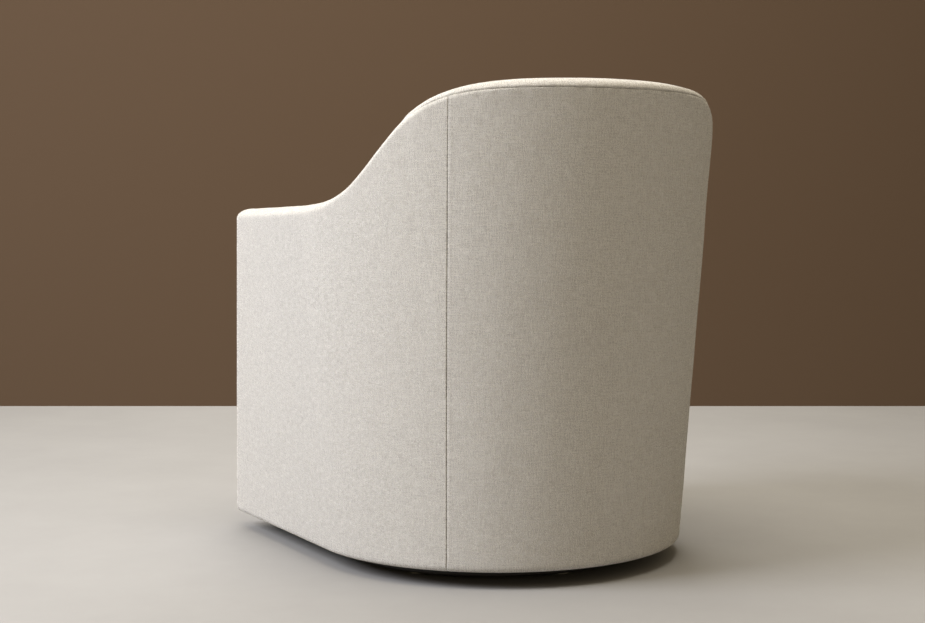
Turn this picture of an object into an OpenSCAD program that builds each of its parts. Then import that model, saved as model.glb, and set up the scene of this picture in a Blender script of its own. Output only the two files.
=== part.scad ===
// Swivel barrel chair: a U-shaped upholstered shell on a ball-bearing swivel and a round plinth.
// The sitter faces -Y, the sitter's left is +X, and the origin is on the swivel axis at the floor.

/* [Shell plan] */
// Radius of the round back at the hem
base_r = 316; // [296:2:336]
// Straight side, from the round back to the front of the arm
side_len = 404; // [380:2:430]
// Outward lean of the shell for each millimetre of height
lean = 0.082; // [0.07:0.002:0.094]

/* [Shell heights] */
// Height of the hem above the floor
hem_z = 26; // [25:1:30]
// Height of the arms where they leave the swoop
arm_z = 590; // [576:2:610]
// Fall of the arms from there to their fronts
arm_fall = 7; // [0:1:14]
// Height of the back
crest_z = 786; // [762:4:810]
// Fall of the crest from the middle of the back to each side
crest_fall = 13; // [4:1:18]
// Distance round the shell from the middle of the back to the middle of the swoop
swoop_s = 328; // [318:2:338]
// Softness of the swoop
swoop_soft = 40; // [38:1:48]

/* [Shell walls] */
// Thickness of the arms and of the rolled top
wall_t = 64; // [62:1:68]
// Height of the rolled top's rounding
roll_h = 18; // [16:1:26]
// Extra thickness of the back at the seat
back_extra = 66; // [56:2:76]
// Distance round the shell at which the extra thickness has faded out
back_reach = 560; // [530:10:590]
// Thickness of the covers with their wadding
cover_t = 5; // [4:0.5:6]
// Gap between stacked layers
layer_gap = 0.6; // [0.5:0.1:0.8]
// Gap along a seam between two covers
seam_gap = 0.4; // [0.3:0.1:0.6]
// Radius of the rolled hem
hem_roll = 9; // [8:0.5:12]
// Width of the cover turned in under the frame
hem_return = 24; // [20:1:30]
// Thickness of the padded arm facings
facing_t = 5.4; // [4:0.2:7]
// Crown of the arm facings
facing_crown = 3; // [2:0.5:5]

/* [Seams] */
// Angle of the vertical seams from the middle of the back, at the hem
seam_angle = 43.2; // [38:0.4:47]
// Slant of the vertical seams towards the middle for each millimetre of height
seam_lean = 0.021; // [0:0.003:0.03]
// Angle round the roll at which the top seam lies in the middle of the back
back_seam_turn = 5; // [2:1:10]
// Angle at which it lies at the vertical seams
side_seam_turn = 26; // [20:1:32]
// Angle round the roll at which the seam lies on the arms
arm_seam_turn = 150; // [140:1:160]
// Angle from the middle of the back where the seam starts to cross the roll
cross_start = 46; // [44:1:50]
// Angle from the middle of the back where the seam has crossed the roll
cross_end = 72; // [68:1:78]
// Turn before and after the crossing along which the seam's gap is wide
cross_ease = 4; // [3:0.5:5]

/* [Frame] */
// Thickness of the two plywood rings
ring_t = 24; // [20:1:27]
// Width of the bottom ring
ring_w = 60; // [52:1:70]
// Height of the underside of the seat ring
seat_ring_z = 262; // [240:2:272]
// Depth of the front member of the seat ring
seat_front_w = 50; // [46:1:56]
// Bearing of the seat ring inside the covers
ring_ledge = 10; // [8:1:14]
// Thickness of the ribs
rib_t = 18; // [15:1:20]
// Depth of the ribs below the seat
rib_depth = 45; // [40:1:48]
// Thickness of the front posts
post_t = 30; // [24:1:32]
// Width of the bent crest rail
crest_rail_w = 28; // [24:1:29]
// Height of the bent crest rail
crest_rail_h = 22; // [18:1:26]
// Foam over the crest rail
crest_cap = 24; // [21:1:28]
// Depth of the rear spring rail
rear_rail_w = 40; // [34:1:46]
// Height of the front seat rail
front_rail_h = 70; // [50:5:90]
// Thickness of the front seat rail
front_rail_t = 22; // [18:1:24]
// Leg of the triangular corner blocks
block_leg = 55; // [45:1:60]
// Thickness of the fibre boards
board_t = 3; // [2:0.5:3.5]

/* [Swivel rails] */
// Width of each swivel rail
swivel_rail_w = 60; // [50:1:64]
// Height of each swivel rail
swivel_rail_h = 25; // [22:1:30]
// Distance of the rails' middle lines from the swivel axis
swivel_rail_x = 110; // [105:1:114]
// Diameter of the rail screws
screw_d = 5; // [4:0.5:6]
// Length of the rail screws
screw_len = 30; // [26:1:32]
// Width of the screws' heads
screw_head_d = 10; // [8:0.5:12]
// Thickness of the screws' heads
screw_head_t = 3; // [2:0.25:4]
// Distance between the two screws of a lap
screw_space = 30; // [24:1:36]
// Distance of the rails' ends inside the frame's outer edge
rail_end_in = 15; // [8:1:20]

/* [Base] */
// Diameter of the plinth
plinth_d = 520; // [480:10:560]
// Thickness of the plinth
plinth_t = 15; // [12:1:18]
// Rounding of the plinth's edge
plinth_round = 3; // [1:0.5:5]
// Number of glides
glide_count = 6; // [5:1:8]
// Diameter of the glides
glide_d = 28; // [22:1:36]
// Thickness of the glides
glide_t = 5; // [4:0.5:6]
// Diameter of the glides' spigots
glide_pin_d = 6; // [4:0.5:8]
// Length of the glides' spigots
glide_pin_len = 9; // [6:0.5:10]
// Distance of the glides from the plinth's edge
glide_edge = 30; // [24:1:40]

/* [Bearing] */
// Side of the square swivel plates
plate_w = 254; // [246:2:260]
// Corner radius of the swivel plates
plate_round = 15; // [10:1:20]
// Thickness of the pressed plates
plate_t = 2.5; // [2:0.1:3]
// Height of the whole swivel over its plates
swivel_h = 24; // [22:0.5:26]
// Radius of the ball race
race_r = 90; // [84:1:94]
// Diameter of the balls
ball_d = 8; // [7:0.5:9]
// Number of balls
ball_count = 24; // [12:1:30]
// Play between a ball and what holds it
ball_play = 0.15; // [0.1:0.05:0.2]
// Half width of the race ridge at its top
race_top = 10; // [9:0.5:11]
// Half width of the race ridge at its foot
race_foot = 14; // [13:0.5:16]
// Half width of the ball cage
cage_half = 6; // [5.5:0.1:7]
// Free height left between the race ridges
race_gap = 3.2; // [3:0.1:3.6]
// Diameter of the king pin
king_d = 12; // [10:0.5:14]
// Running clearance of the king pin in its bush, on the radius
king_play = 0.05; // [0.02:0.01:0.1]
// Width of the king pin's head
king_head_d = 24; // [20:1:28]
// Thickness of the king pin's head
king_head_t = 5; // [4:0.5:6]
// Wall of the pivot bush
bush_wall = 3; // [2:0.5:4]
// Thickness of the bush's flange
bush_flange = 2.5; // [2:0.25:3]
// Width of the thrust washer
king_washer_d = 30; // [28:1:34]
// Thickness of the thrust washer
king_washer_t = 2; // [1.5:0.25:3]
// Height of the king pin nut
king_nut_h = 9; // [8:0.5:11]
// Diameter of the plinth and frame bolts
bolt_d = 8; // [6:0.5:8]
// Width of the bolts' round heads and of the nuts' flanges
bolt_flange_d = 18; // [16:1:20]
// Thickness of the bolts' round heads
bolt_head_t = 3.5; // [3:0.25:4]
// Distance of the bolts from the plates' middle lines
bolt_place = 110; // [106:1:112]

/* [Seat] */
// Number of sinuous springs
spring_count = 5; // [3:1:5]
// Distance between springs
spring_space = 88; // [80:1:92]
// Cross runs in each spring
spring_runs = 18; // [14:1:20]
// Width of each spring
spring_w = 50; // [46:1:54]
// Diameter of the spring wire
spring_wire = 3.8; // [3.2:0.1:4.2]
// Rise of the springs at mid length
spring_rise = 22; // [18:1:24]
// Distance of the springs' rear ends inside the back's outside face at the hem
spring_rear_in = 212; // [200:2:226]
// Thickness of the clip metal
clip_t = 1.6; // [1.2:0.1:2]
// Width of a spring clip
clip_w = 16; // [12:1:18]
// Length of a clip's tab
clip_tab = 16; // [13:0.5:17]
// Diameter of the tie wire
tie_wire_d = 3; // [2:0.5:3.5]
// Height of the deck pad's top
deck_z = 320; // [317:1:326]
// Thickness of the deck cloth
deck_cloth_t = 2; // [1:0.5:3]
// Width of the foam edge roll
edge_roll_w = 18; // [15:1:19]
// Set-back of the front border's rounded top edge
border_round = 12; // [8:1:16]

/* [Cushion] */
// Height of the cushion's boxing
boxing_h = 120; // [100:5:130]
// Crown of the cushion above its boxing
cushion_crown = 16; // [10:1:22]
// Gap between the cushion and the inside covers
cushion_gap = 2; // [1.5:0.1:3]
// Inward draw of the cushion's front between its corners
cushion_draw = 6; // [3:1:10]
// Radius of the cushion's front corners
cushion_corner = 26; // [20:1:34]
// Radius of the cushion's seams
cushion_edge = 8; // [5:1:12]
// Set-back of the cushion behind the arm facings
cushion_set_back = 4; // [1:1:10]
// Thickness of the cushion's cover
cushion_cover_t = 3; // [2.5:0.5:4]
// Length of the zip
zip_len = 320; // [240:10:360]
// Width of the zip's tape
zip_w = 16; // [14:1:20]

/* [Back padding] */
// Thickness of the arm foam
arm_foam_t = 22; // [20:1:23]
// Extra thickness of the foam at the seat
back_foam_extra = 16; // [12:1:20]
// Width of the webbing
web_w = 50; // [40:1:56]
// Thickness of the webbing
web_t = 1.6; // [1.2:0.2:2]
// Space between the webs
web_space = 88; // [70:1:96]
// Number of webs
web_count = 3; // [2:1:3]
// Thickness of the dust cover
dust_t = 1; // [0.8:0.1:1.2]
// Room between the swivel's bolts and the edge of the dust cover's opening
dust_room = 20; // [17:1:35]
// Distance of the dust cover's edge inside the hem
dust_inset = 13; // [11:1:18]

/* [Hidden] */

linen = [0.87, 0.845, 0.8];
timber = [0.78, 0.64, 0.46];
ply = [0.82, 0.7, 0.52];
steel = [0.62, 0.63, 0.65];
black = [0.07, 0.065, 0.06];
foam = [0.93, 0.89, 0.72];
fibre = [0.6, 0.5, 0.38];
felt = [0.75, 0.73, 0.69];
nylon = [0.9, 0.89, 0.84];

// Overrun of every cut
over = 1;
// Gap where one piece only rests on another
seat_gap = 0.3;
// Gap round the crest rail, whose faces twist along the swoops
rail_gap = 1;
// Clearance of bolts, screws and wire in their holes, on the radius
bolt_play = 0.1;
// Room round the king pin's head in the plinth
king_head_room = 3;

// Steps of the grids round the shell: to the vertical seams, round the bends, along the sides
back_steps = 12;
bend_steps = 12;
side_steps = 10;
last = back_steps + bend_steps + side_steps;
// Step at which the inside back cover meets the inside arm covers
inside_seam = 17;
// Steps at which the ribs stand
back_rib_steps = [-16.5, -10.5, 0, 10.5, 16.5];
arm_rib_steps = [23.5, 27.5, 31];

// Places round the shell
quarter = base_r * PI / 2;
seam_s = base_r * seam_angle * PI / 180;
cover_end = side_len - facing_t - layer_gap;
roll_r = wall_t / 2;
back_r = base_r + lean * (crest_z - roll_h - hem_z);
arc_y = (side_len + facing_crown - back_r) / 2;
facing_y = arc_y - side_len;

// Layers, counted inwards from the outside face
board_in = cover_t + layer_gap;
frame_in = board_in + board_t + layer_gap;
border_y = arc_y - cover_end;
front_board_y = border_y + board_in;
frame_y = border_y + frame_in;
crest_rail_in = roll_r - crest_rail_w / 2;

// Heights of the frame and of the padding
bottom_ring_z = hem_z + cover_t + seat_gap;
bottom_ring_top = bottom_ring_z + ring_t;
board_z = hem_z + hem_roll;
seat_ring_top = seat_ring_z + ring_t;
pad_foot = seat_ring_top + seat_gap;
rail_drop = crest_cap + crest_rail_h;
deck_top = deck_z + seat_gap + deck_cloth_t;
cushion_z = deck_top + seat_gap;
lumbar_z = cushion_z + boxing_h;
web_z = pad_foot + web_w;

// Heights of the swivel
plinth_top = glide_t + plinth_t;
swivel_top = plinth_top + swivel_h;
ball_z = plinth_top + swivel_h / 2;
swivel_rail_top = swivel_top + swivel_rail_h;
king_washer_z = swivel_top + seat_gap;
king_nut_z = king_washer_z + king_washer_t;
nut_h = bolt_d * 0.8;
nut_w = bolt_d * 1.85;
king_nut_w = king_d * 1.7;
bush_d = king_d + 2 * (king_play + bush_wall);
groove_r = ball_d / 2 + ball_play;

// Seat springs
clip_r = spring_wire / 2 + bolt_play + clip_t;
spring_z = seat_ring_top + clip_r;
spring_front = frame_y + edge_roll_w + clip_tab;
spring_back = arc_y + base_r - spring_rear_in;
spring_len = spring_back - spring_front;
spring_pitch = spring_len / (spring_runs - 1);
// Smallest step of the wire's places, so that runs and loops meet exactly
wire_step = 0.01;
spring_reach = round((spring_w - spring_pitch - spring_wire) / 2 / wire_step) * wire_step;
deck_y = frame_y + edge_roll_w + seat_gap;

// Cushion
cushion_y = facing_y + cushion_set_back;
cushion_bend_y = cushion_y + cushion_corner;

// Which side of zero a place lies on
function side_of(s) = s < 0 ? -1 : 1;
// Smooth step from 0 to 1
function smooth(u) = let (v = min(max(u, 0), 1)) v * v * (3 - 2 * v);
// Evenly spaced values
function spread(a, b, n) = [for (i = [0:n]) a + (b - a) * i / n];
// Quarter circle of points from angle a to angle b
function bend(x, y, r, a, b) = [for (t = spread(a, b, 3)) [x + r * cos(t), y + r * sin(t)]];
// Angle round the back at a distance round the shell
function turn_at(s) = min(abs(s), quarter) / base_r * 180 / PI;
// Distance round the shell at a step of the grids
function spot(k) = side_of(k) * (abs(k) <= back_steps ? seam_s * abs(k) / back_steps
    : abs(k) <= back_steps + bend_steps
    ? seam_s + (quarter - seam_s) * (abs(k) - back_steps) / bend_steps
    : quarter + cover_end * (abs(k) - back_steps - bend_steps) / side_steps);
// Distance round the shell at a place along the straight side
function spot_at_y(y) = quarter + arc_y - y;
// Places of the steps from one seam to another, drawn in by half the seam's gap at each end
function places(from, to) = [for (k = [from:to])
    spot(k) + (k == from ? seam_gap / 2 : k == to ? -seam_gap / 2 : 0)];
// Lean at a place: full round the back, easing out to the upright front of the arm
function lean_at(s) = let (t = max(0, abs(s) - quarter) / side_len)
    lean * pow(1 - t, 2) * (1 + 2 * t);
// Distance of a point of the shell from the middle, at a place, height and depth
function reach_at(s, z, depth) = base_r + lean_at(s) * (z - hem_z) - depth;
// A point of the shell: place round it, height, and depth inwards from the outside face
function wall(s, z, depth) = let (r = reach_at(s, z, depth), a = turn_at(s))
    [side_of(s) * r * sin(a), arc_y + r * cos(a) - max(0, abs(s) - quarter), z];
// Height of the crest at a place: low arms, a soft swoop, high back
function crest(s) = arm_z - arm_fall * max(0, abs(s) - quarter) / side_len
    + (crest_z - arm_z - crest_fall * pow(s / base_r, 2)) / (1 + exp((abs(s) - swoop_s) / swoop_soft));
// Height at which the rolled top starts
function roll_z(s) = crest(s) - roll_h;
// Place at a height on the upright line that leaves the hem at s: lines near the vertical seams
// slant with them
function along(s, z) = s - side_of(s) * seam_lean * (z - hem_z)
    * (abs(s) < seam_s ? abs(s) / seam_s : max(0, quarter - abs(s)) / (quarter - seam_s));
// The same at the top
function above(s) = along(s, roll_z(s));
// Share of the back's extra thickness left at a place round the shell
function fade(s) = abs(s) < back_reach ? (1 + cos(180 * abs(s) / back_reach)) / 2 : 0;
// Share of it left at a height: whole at the seat, none where the roll starts
function recline(s, z) =
    1 - pow(min(max((z - lumbar_z) / (roll_z(s) - lumbar_z), 0), 1), 1.3);
// Depth of the inside face
function inside(s, z) = wall_t + back_extra * fade(s) * recline(s, z);
// Depth of the back of the inside foam
function pad_back(s, z) = inside(s, z) - board_in - arm_foam_t
    - back_foam_extra * fade(s) * recline(s, z);
// Depth of the ribs' inner edge, behind the webbing
function rib_in(s, z) = pad_back(s, z) - web_t - 2 * layer_gap;
// A point on the roll over the top, at an angle round it from the outside
function on_roll(s, angle, depth) = wall(s, roll_z(s) + (roll_h - depth) * sin(angle),
    roll_r - (roll_r - depth) * cos(angle));
// A point on the rolled hem, at an angle from the underside
function on_hem(s, angle, depth) =
    wall(s, hem_z + hem_roll - (hem_roll - depth) * cos(angle),
    hem_roll - (hem_roll - depth) * sin(angle));
// Angle round the roll at which the top seam lies: outside on the back, inside on the arms
function seam_turn(s) = let (low = back_seam_turn
    + (side_seam_turn - back_seam_turn) * pow(s / seam_s, 2),
    u = smooth((turn_at(s) - cross_start) / (cross_end - cross_start)))
    u == 1 ? arm_seam_turn : low + (arm_seam_turn - low) * u;
// Half of the seam's gap as an angle round the roll, wider where the seam crosses the roll
function seam_slack(s) = let (turn = turn_at(s))
    (turn > cross_start - cross_ease && turn < cross_end + cross_ease ? 3 : 1)
    * seam_gap / roll_r * 90 / PI;
// Top of the pads and boards, under the crest rail and the foam round it
function pad_top(s) = crest(above(s)) - rail_drop - 2 * layer_gap;
// Heights at which every outside layer bends, so that their facets run side by side
function outside_levels(s) = spread(board_z, pad_top(s), 4);
// The same for the inside layers of the arms, downwards
function arm_levels(s) = spread(pad_top(s), pad_foot, 3);
// Heights at which the back's padding bends, from the seat up to under the crest rail
function back_levels(top) = let (high = web_z + (web_count - 1) * web_space + web_w)
    concat([pad_foot], [for (i = [0:web_count - 1], h = [0, web_w]) web_z + i * web_space + h],
    [(high + top) / 2, top]);

// Heights in turn from the highest
function down(levels) = [for (i = [len(levels) - 1:-1:0]) levels[i]];

// Closed solid between two matching grids of points
module slab(front, back) {
    rows = len(front);
    cols = len(front[0]);
    size = rows * cols;
    edge = concat([for (j = [0:cols - 1]) j], [for (i = [1:rows - 1]) i * cols + cols - 1],
        [for (j = [cols - 2:-1:0]) (rows - 1) * cols + j], [for (i = [rows - 2:-1:1]) i * cols]);
    count = len(edge);
    face = [for (i = [0:rows - 2], j = [0:cols - 2]) let (p = i * cols + j)
        each [[p, p + cols + 1, p + 1], [p, p + cols, p + cols + 1]]];
    rear = [for (f = face) [f[2] + size, f[1] + size, f[0] + size]];
    rim = [for (i = [0:count - 1]) let (p = edge[i], q = edge[(i + 1) % count])
        each [[p, q, p + size], [q, q + size, p + size]]];
    polyhedron([for (grid = [front, back], row = grid, p = row) p], concat(face, rear, rim));
}

// Middle of a list of points
function middle(ring) = [for (a = [0:2]) [for (p = ring) p[a]] * [for (p = ring) 1] / len(ring)];

// Closed solid of stacked rings of points, each end closed to its middle
module stack(rings) {
    n = len(rings[0]);
    m = len(rings);
    side = [for (j = [0:m - 2], i = [0:n - 1]) let (p = j * n + i, q = j * n + (i + 1) % n)
        each [[p, p + n, q + n], [p, q + n, q]]];
    caps = [for (i = [0:n - 1]) let (q = (i + 1) % n)
        each [[i, q, m * n], [(m - 1) * n + q, (m - 1) * n + i, m * n + 1]]];
    polyhedron([for (ring = rings, p = ring) p, middle(rings[0]), middle(rings[m - 1])],
        concat(side, caps));
}

// Outline carried from side to side: points are [along the chair, height]
module across(width) {
    translate([-width / 2, 0, 0]) rotate([90, 0, 90]) linear_extrude(width) children();
}

// Both sides of the chair
module both() {
    children();
    mirror([1, 0, 0]) children();
}

// Area inside the outside face at a height, drawn in by a depth, up to a front line
module plan(z, depth, front) {
    reach = reach_at(0, z, depth);
    edge = concat([wall(spot_at_y(front), z, depth)], [for (k = [last:-1:back_steps + bend_steps])
        let (p = wall(spot(k), z, depth)) if (p[1] > front + over) p]);
    intersection() {
        translate([0, arc_y]) circle(r = reach, $fn = 120);
        translate([-reach - over, arc_y]) square([2 * (reach + over), reach + over]);
    }
    polygon(concat([for (p = edge) [p[0], p[1]]],
        [for (i = [len(edge) - 1:-1:0]) [-edge[i][0], edge[i][1]]]));
}

// Area inside the inside face at a height, with a gap, up to a front line
module inner_plan(z, gap, front) {
    half = concat([for (k = [0:last]) let (p = wall(spot(k), z, inside(spot(k), z) + gap))
        if (p[1] > front + over) p],
        [let (s = spot_at_y(front)) wall(s, z, inside(s, z) + gap)]);
    polygon(concat([for (i = [len(half) - 1:-1:1]) [-half[i][0], half[i][1]]],
        [for (p = half) [p[0], p[1]]]));
}

// Reach of a plank's inner edge, behind the webbing at both of the plank's faces
function rib_edge(s, thick, z) = max([for (p = [s - thick / 2, s + thick / 2])
    reach_at(p, z, rib_in(p, max(z, pad_foot)))]);

// Plank standing square to the shell at a step, its top cut to the slope of the crest rail.
// Its outline runs over heights, from an outer depth to the inner edge. The cutters of the rings'
// slots have an outer depth that clears the rings
module rib(k, thick, levels, outer) {
    s = abs(spot(k));
    top = crest(s) - rail_drop - rail_gap;
    slope = (crest(s + over) - crest(s - over)) / (2 * over)
        * (abs(s) < quarter ? base_r / reach_at(s, top, roll_r) : 1);
    n = len(levels);
    rise = thick * abs(slope);
    outline = concat(
        [for (z = [bottom_ring_z, top + rise]) [reach_at(s + thick / 2, z, outer), z]],
        [[rib_edge(s, thick, levels[n - 1]), top + rise]],
        [for (i = [n - 2:-1:0]) [rib_edge(s, thick, levels[i]), levels[i]]],
        [for (z = [seat_ring_z, bottom_ring_z]) [reach_at(s, z, frame_in + rib_depth), z]]);
    translate([0, arc_y - max(0, s - quarter), 0])
        rotate([90, 0, 90 - side_of(k) * turn_at(s)]) difference() {
            translate([0, 0, -thick / 2]) linear_extrude(thick) polygon(outline);
            translate([0, top, 0]) rotate([-side_of(k) * atan(slope), 0, 0])
                translate([0, 0, -base_r]) cube([2 * base_r, base_r, 2 * base_r]);
        }
}

module back_rib(k, outer) {
    s = spot(k);
    rib(k, rib_t, concat([seat_ring_z], back_levels(crest(s) - rail_drop)), outer);
}

module arm_rib(k, thick, outer) {
    s = spot(k);
    rib(k, thick, concat([seat_ring_z], spread(pad_foot, crest(s) - rail_drop, 3)), outer);
}

module slots() {
    for (k = back_rib_steps) back_rib(k, 0);
    both() for (k = arm_rib_steps) arm_rib(k, rib_t, 0);
    both() front_post(0);
}

module front_post(outer) {
    arm_rib(last - post_t / 2 * side_steps / cover_end, post_t, outer);
}

// Wooden frame

module bottom_ring() {
    color(ply) difference() {
        translate([0, 0, bottom_ring_z]) linear_extrude(ring_t) difference() {
            plan(bottom_ring_z, frame_in, frame_y);
            plan(bottom_ring_z, frame_in + ring_w, frame_y + ring_w);
        }
        slots();
        rail_screw_places() cylinder(h = screw_len + over, r = screw_d / 2 + bolt_play, $fn = 24);
    }
}

module seat_ring() {
    color(ply) difference() {
        translate([0, 0, seat_ring_z]) linear_extrude(ring_t) difference() {
            plan(seat_ring_z, frame_in, frame_y);
            inner_plan(seat_ring_z, ring_ledge, frame_y + seat_front_w);
        }
        slots();
    }
}

module back_ribs() {
    color(ply) for (k = back_rib_steps) back_rib(k, frame_in);
}

module arm_ribs() {
    color(ply) both() for (k = arm_rib_steps) arm_rib(k, rib_t, frame_in);
}

module front_posts() {
    color(timber) both() front_post(frame_in);
}

// Laminated rail bent round the back and down the swoops to the fronts of the arms
module crest_rail() {
    tops = [for (s = places(-last, last)) above(s)];
    color(timber) slab(
        [for (s = tops) [for (drop = [rail_drop, crest_cap])
            wall(s, crest(s) - drop, crest_rail_in)]],
        [for (s = tops) [for (drop = [rail_drop, crest_cap])
            wall(s, crest(s) - drop, crest_rail_in + crest_rail_w)]]);
}

// Rail between the seat ring's sides, lapped under the ring at both ends
module rear_spring_rail() {
    color(timber) for (lap = [0, 1]) intersection() {
        translate([0, 0, seat_ring_z - lap * ring_t]) linear_extrude(ring_t)
            if (lap == 1) plan(seat_ring_z - ring_t, frame_in + rib_depth + seat_gap, frame_y);
            else inner_plan(seat_ring_z, ring_ledge, frame_y + seat_front_w);
        translate([-base_r, spring_back - rear_rail_w / 4, seat_ring_z - ring_t])
            cube([2 * base_r, rear_rail_w, 2 * ring_t]);
    }
}

module front_seat_rail() {
    half = base_r - frame_in - rib_depth - seat_gap;
    color(timber) translate([-half, frame_y, seat_ring_z - front_rail_h])
        cube([2 * half, front_rail_t, front_rail_h]);
}

module corner_blocks() {
    corner = base_r - frame_in - rib_depth - seat_gap;
    color(timber) both() translate([corner, frame_y + front_rail_t, seat_ring_z - ring_t])
        linear_extrude(ring_t) polygon([[0, 0], [0, block_leg], [-block_leg, 0]]);
}

// Swivel rails, bolted to the swivel and lapped over the bottom ring

module swivel_rail_part(z, height, end_in) {
    translate([0, 0, z]) linear_extrude(height) intersection() {
        plan(bottom_ring_z, frame_in + end_in, frame_y + end_in);
        translate([swivel_rail_x - swivel_rail_w / 2, -2 * base_r])
            square([swivel_rail_w, 4 * base_r]);
    }
}

module swivel_rails() {
    color(timber) both() difference() {
        union() {
            swivel_rail_part(swivel_top, bottom_ring_top - swivel_top, ring_w);
            swivel_rail_part(bottom_ring_top, swivel_rail_top - bottom_ring_top, rail_end_in);
        }
        for (y = [-bolt_place, bolt_place]) translate([bolt_place, y, swivel_top - over])
            cylinder(h = swivel_rail_h + 2 * over, r = bolt_d / 2 + bolt_play, $fn = 32);
        rail_screw_places()
            cylinder(h = screw_len + over, r = screw_d / 2 + bolt_play, $fn = 24);
    }
}

// The feet of the rail screws, two at each lap
module rail_screw_places() {
    middle_r = base_r - frame_in - ring_w / 2;
    for (side = [-1, 1], across = [-screw_space / 2, screw_space / 2]) {
        x = swivel_rail_x + across;
        for (y = [frame_y + ring_w / 2, arc_y + sqrt(middle_r * middle_r - x * x)])
            translate([side * x, y, swivel_rail_top - screw_len]) children();
    }
}

module rail_screws() {
    color(steel) rail_screw_places() {
        cylinder(h = screw_len, d = screw_d, $fn = 24);
        translate([0, 0, screw_len]) cylinder(h = screw_head_t, d = screw_head_d, $fn = 32);
    }
}

// Base: plinth on glides

module glide_places() {
    for (i = [0:glide_count - 1]) rotate(360 * (i + 0.5) / glide_count)
        translate([plinth_d / 2 - glide_edge, 0, 0]) children();
}

module floor_glides() {
    chamfer = glide_t / 4;
    color(nylon) glide_places() {
        rotate_extrude($fn = 64) polygon([[0, 0], [glide_d / 2 - chamfer, 0],
            [glide_d / 2, chamfer], [glide_d / 2, glide_t], [0, glide_t]]);
        translate([0, 0, glide_t]) cylinder(h = glide_pin_len, d = glide_pin_d, $fn = 32);
    }
}

module bolt_places(z) {
    for (x = [-bolt_place, bolt_place], y = [-bolt_place, bolt_place])
        translate([x, y, z]) children();
}

// Round board with a rounded edge, bored for the king pin's head, the bolts and the glides
module plinth() {
    color(black) difference() {
        translate([0, 0, glide_t]) rotate_extrude($fn = 180) {
            square([plinth_d / 2 - plinth_round, plinth_t]);
            translate([0, plinth_round]) square([plinth_d / 2, plinth_t - 2 * plinth_round]);
            for (y = [plinth_round, plinth_t - plinth_round])
                translate([plinth_d / 2 - plinth_round, y]) circle(r = plinth_round, $fn = 32);
        }
        translate([0, 0, glide_t - over]) cylinder(h = plinth_t + 2 * over,
            d = king_head_d + 2 * king_head_room, $fn = 64);
        bolt_places(glide_t - over) {
            cylinder(h = plinth_t + 2 * over, r = bolt_d / 2 + bolt_play, $fn = 32);
            cylinder(h = bolt_head_t + 2 * over, r = bolt_flange_d / 2 + bolt_play, $fn = 48);
        }
        glide_places() translate([0, 0, glide_t - over])
            cylinder(h = glide_pin_len + 2 * over, r = glide_pin_d / 2 + bolt_play, $fn = 32);
    }
}

module plinth_bolts() {
    stem = plinth_t - bolt_head_t - over + plate_t + nut_h + 2 * over;
    color(steel) bolt_places(glide_t + over) {
        cylinder(h = bolt_head_t, d = bolt_flange_d, $fn = 48);
        translate([0, 0, bolt_head_t]) cylinder(h = stem, d = bolt_d, $fn = 32);
    }
}

module flange_nut() {
    difference() {
        union() {
            cylinder(h = nut_h / 4, d = bolt_flange_d, $fn = 48);
            cylinder(h = nut_h, d = nut_w, $fn = 6);
        }
        translate([0, 0, -over])
            cylinder(h = nut_h + 2 * over, r = bolt_d / 2 + bolt_play, $fn = 32);
    }
}

module plinth_nuts() {
    color(steel) bolt_places(plinth_top + plate_t) flange_nut();
}

// Ball-bearing swivel

// Pressed plate: a square flange with a raised ridge that carries the ball groove on its top
module swivel_plate(hole_r) {
    ridge_top = ball_z - race_gap / 2;
    hollow_top = ball_z - groove_r - plate_t * 0.7;
    difference() {
        union() {
            translate([0, 0, plinth_top]) linear_extrude(plate_t) rounded_square();
            rotate_extrude($fn = 180) polygon([[race_r - race_foot, plinth_top],
                [race_r - race_top, ridge_top], [race_r + race_top, ridge_top],
                [race_r + race_foot, plinth_top]]);
        }
        rotate_extrude($fn = 180) polygon([[race_r - race_foot + plate_t, plinth_top - over],
            [race_r - race_top + plate_t, hollow_top], [race_r + race_top - plate_t, hollow_top],
            [race_r + race_foot - plate_t, plinth_top - over]]);
        rotate_extrude($fn = 180) translate([race_r, ball_z]) circle(r = groove_r, $fn = 64);
        translate([0, 0, plinth_top - over])
            cylinder(h = plate_t + 2 * over, r = hole_r, $fn = 64);
        bolt_places(plinth_top - over)
            cylinder(h = plate_t + 2 * over, r = bolt_d / 2 + bolt_play, $fn = 32);
    }
}

module rounded_square() {
    inner = plate_w / 2 - plate_round;
    square([plate_w, 2 * inner], center = true);
    square([2 * inner, plate_w], center = true);
    for (x = [-inner, inner], y = [-inner, inner])
        translate([x, y]) circle(r = plate_round, $fn = 48);
}

module lower_swivel_plate() {
    color(steel) swivel_plate(king_d / 2 + bolt_play);
}

module upper_swivel_plate() {
    color(steel) translate([0, 0, 2 * ball_z]) mirror([0, 0, 1])
        swivel_plate(bush_d / 2 + bolt_play);
}

module ball_places() {
    for (i = [0:ball_count - 1]) rotate(360 * i / ball_count)
        translate([race_r, 0, ball_z]) children();
}

module ball_cage() {
    height = race_gap - 2 * seat_gap;
    color(nylon) difference() {
        translate([0, 0, ball_z - height / 2]) difference() {
            cylinder(h = height, r = race_r + cage_half, $fn = 180);
            translate([0, 0, -over])
                cylinder(h = height + 2 * over, r = race_r - cage_half, $fn = 180);
        }
        ball_places() cylinder(h = height + 2 * over, r = groove_r, center = true, $fn = 48);
    }
}

module bearing_balls() {
    color(steel) ball_places() sphere(d = ball_d, $fn = 32);
}

module king_pin() {
    color(steel) {
        translate([0, 0, plinth_top - king_head_t])
            cylinder(h = king_head_t, d = king_head_d, $fn = 64);
        translate([0, 0, plinth_top]) cylinder(
            h = king_nut_z + king_nut_h + over - plinth_top, d = king_d, $fn = 64);
    }
}

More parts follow.
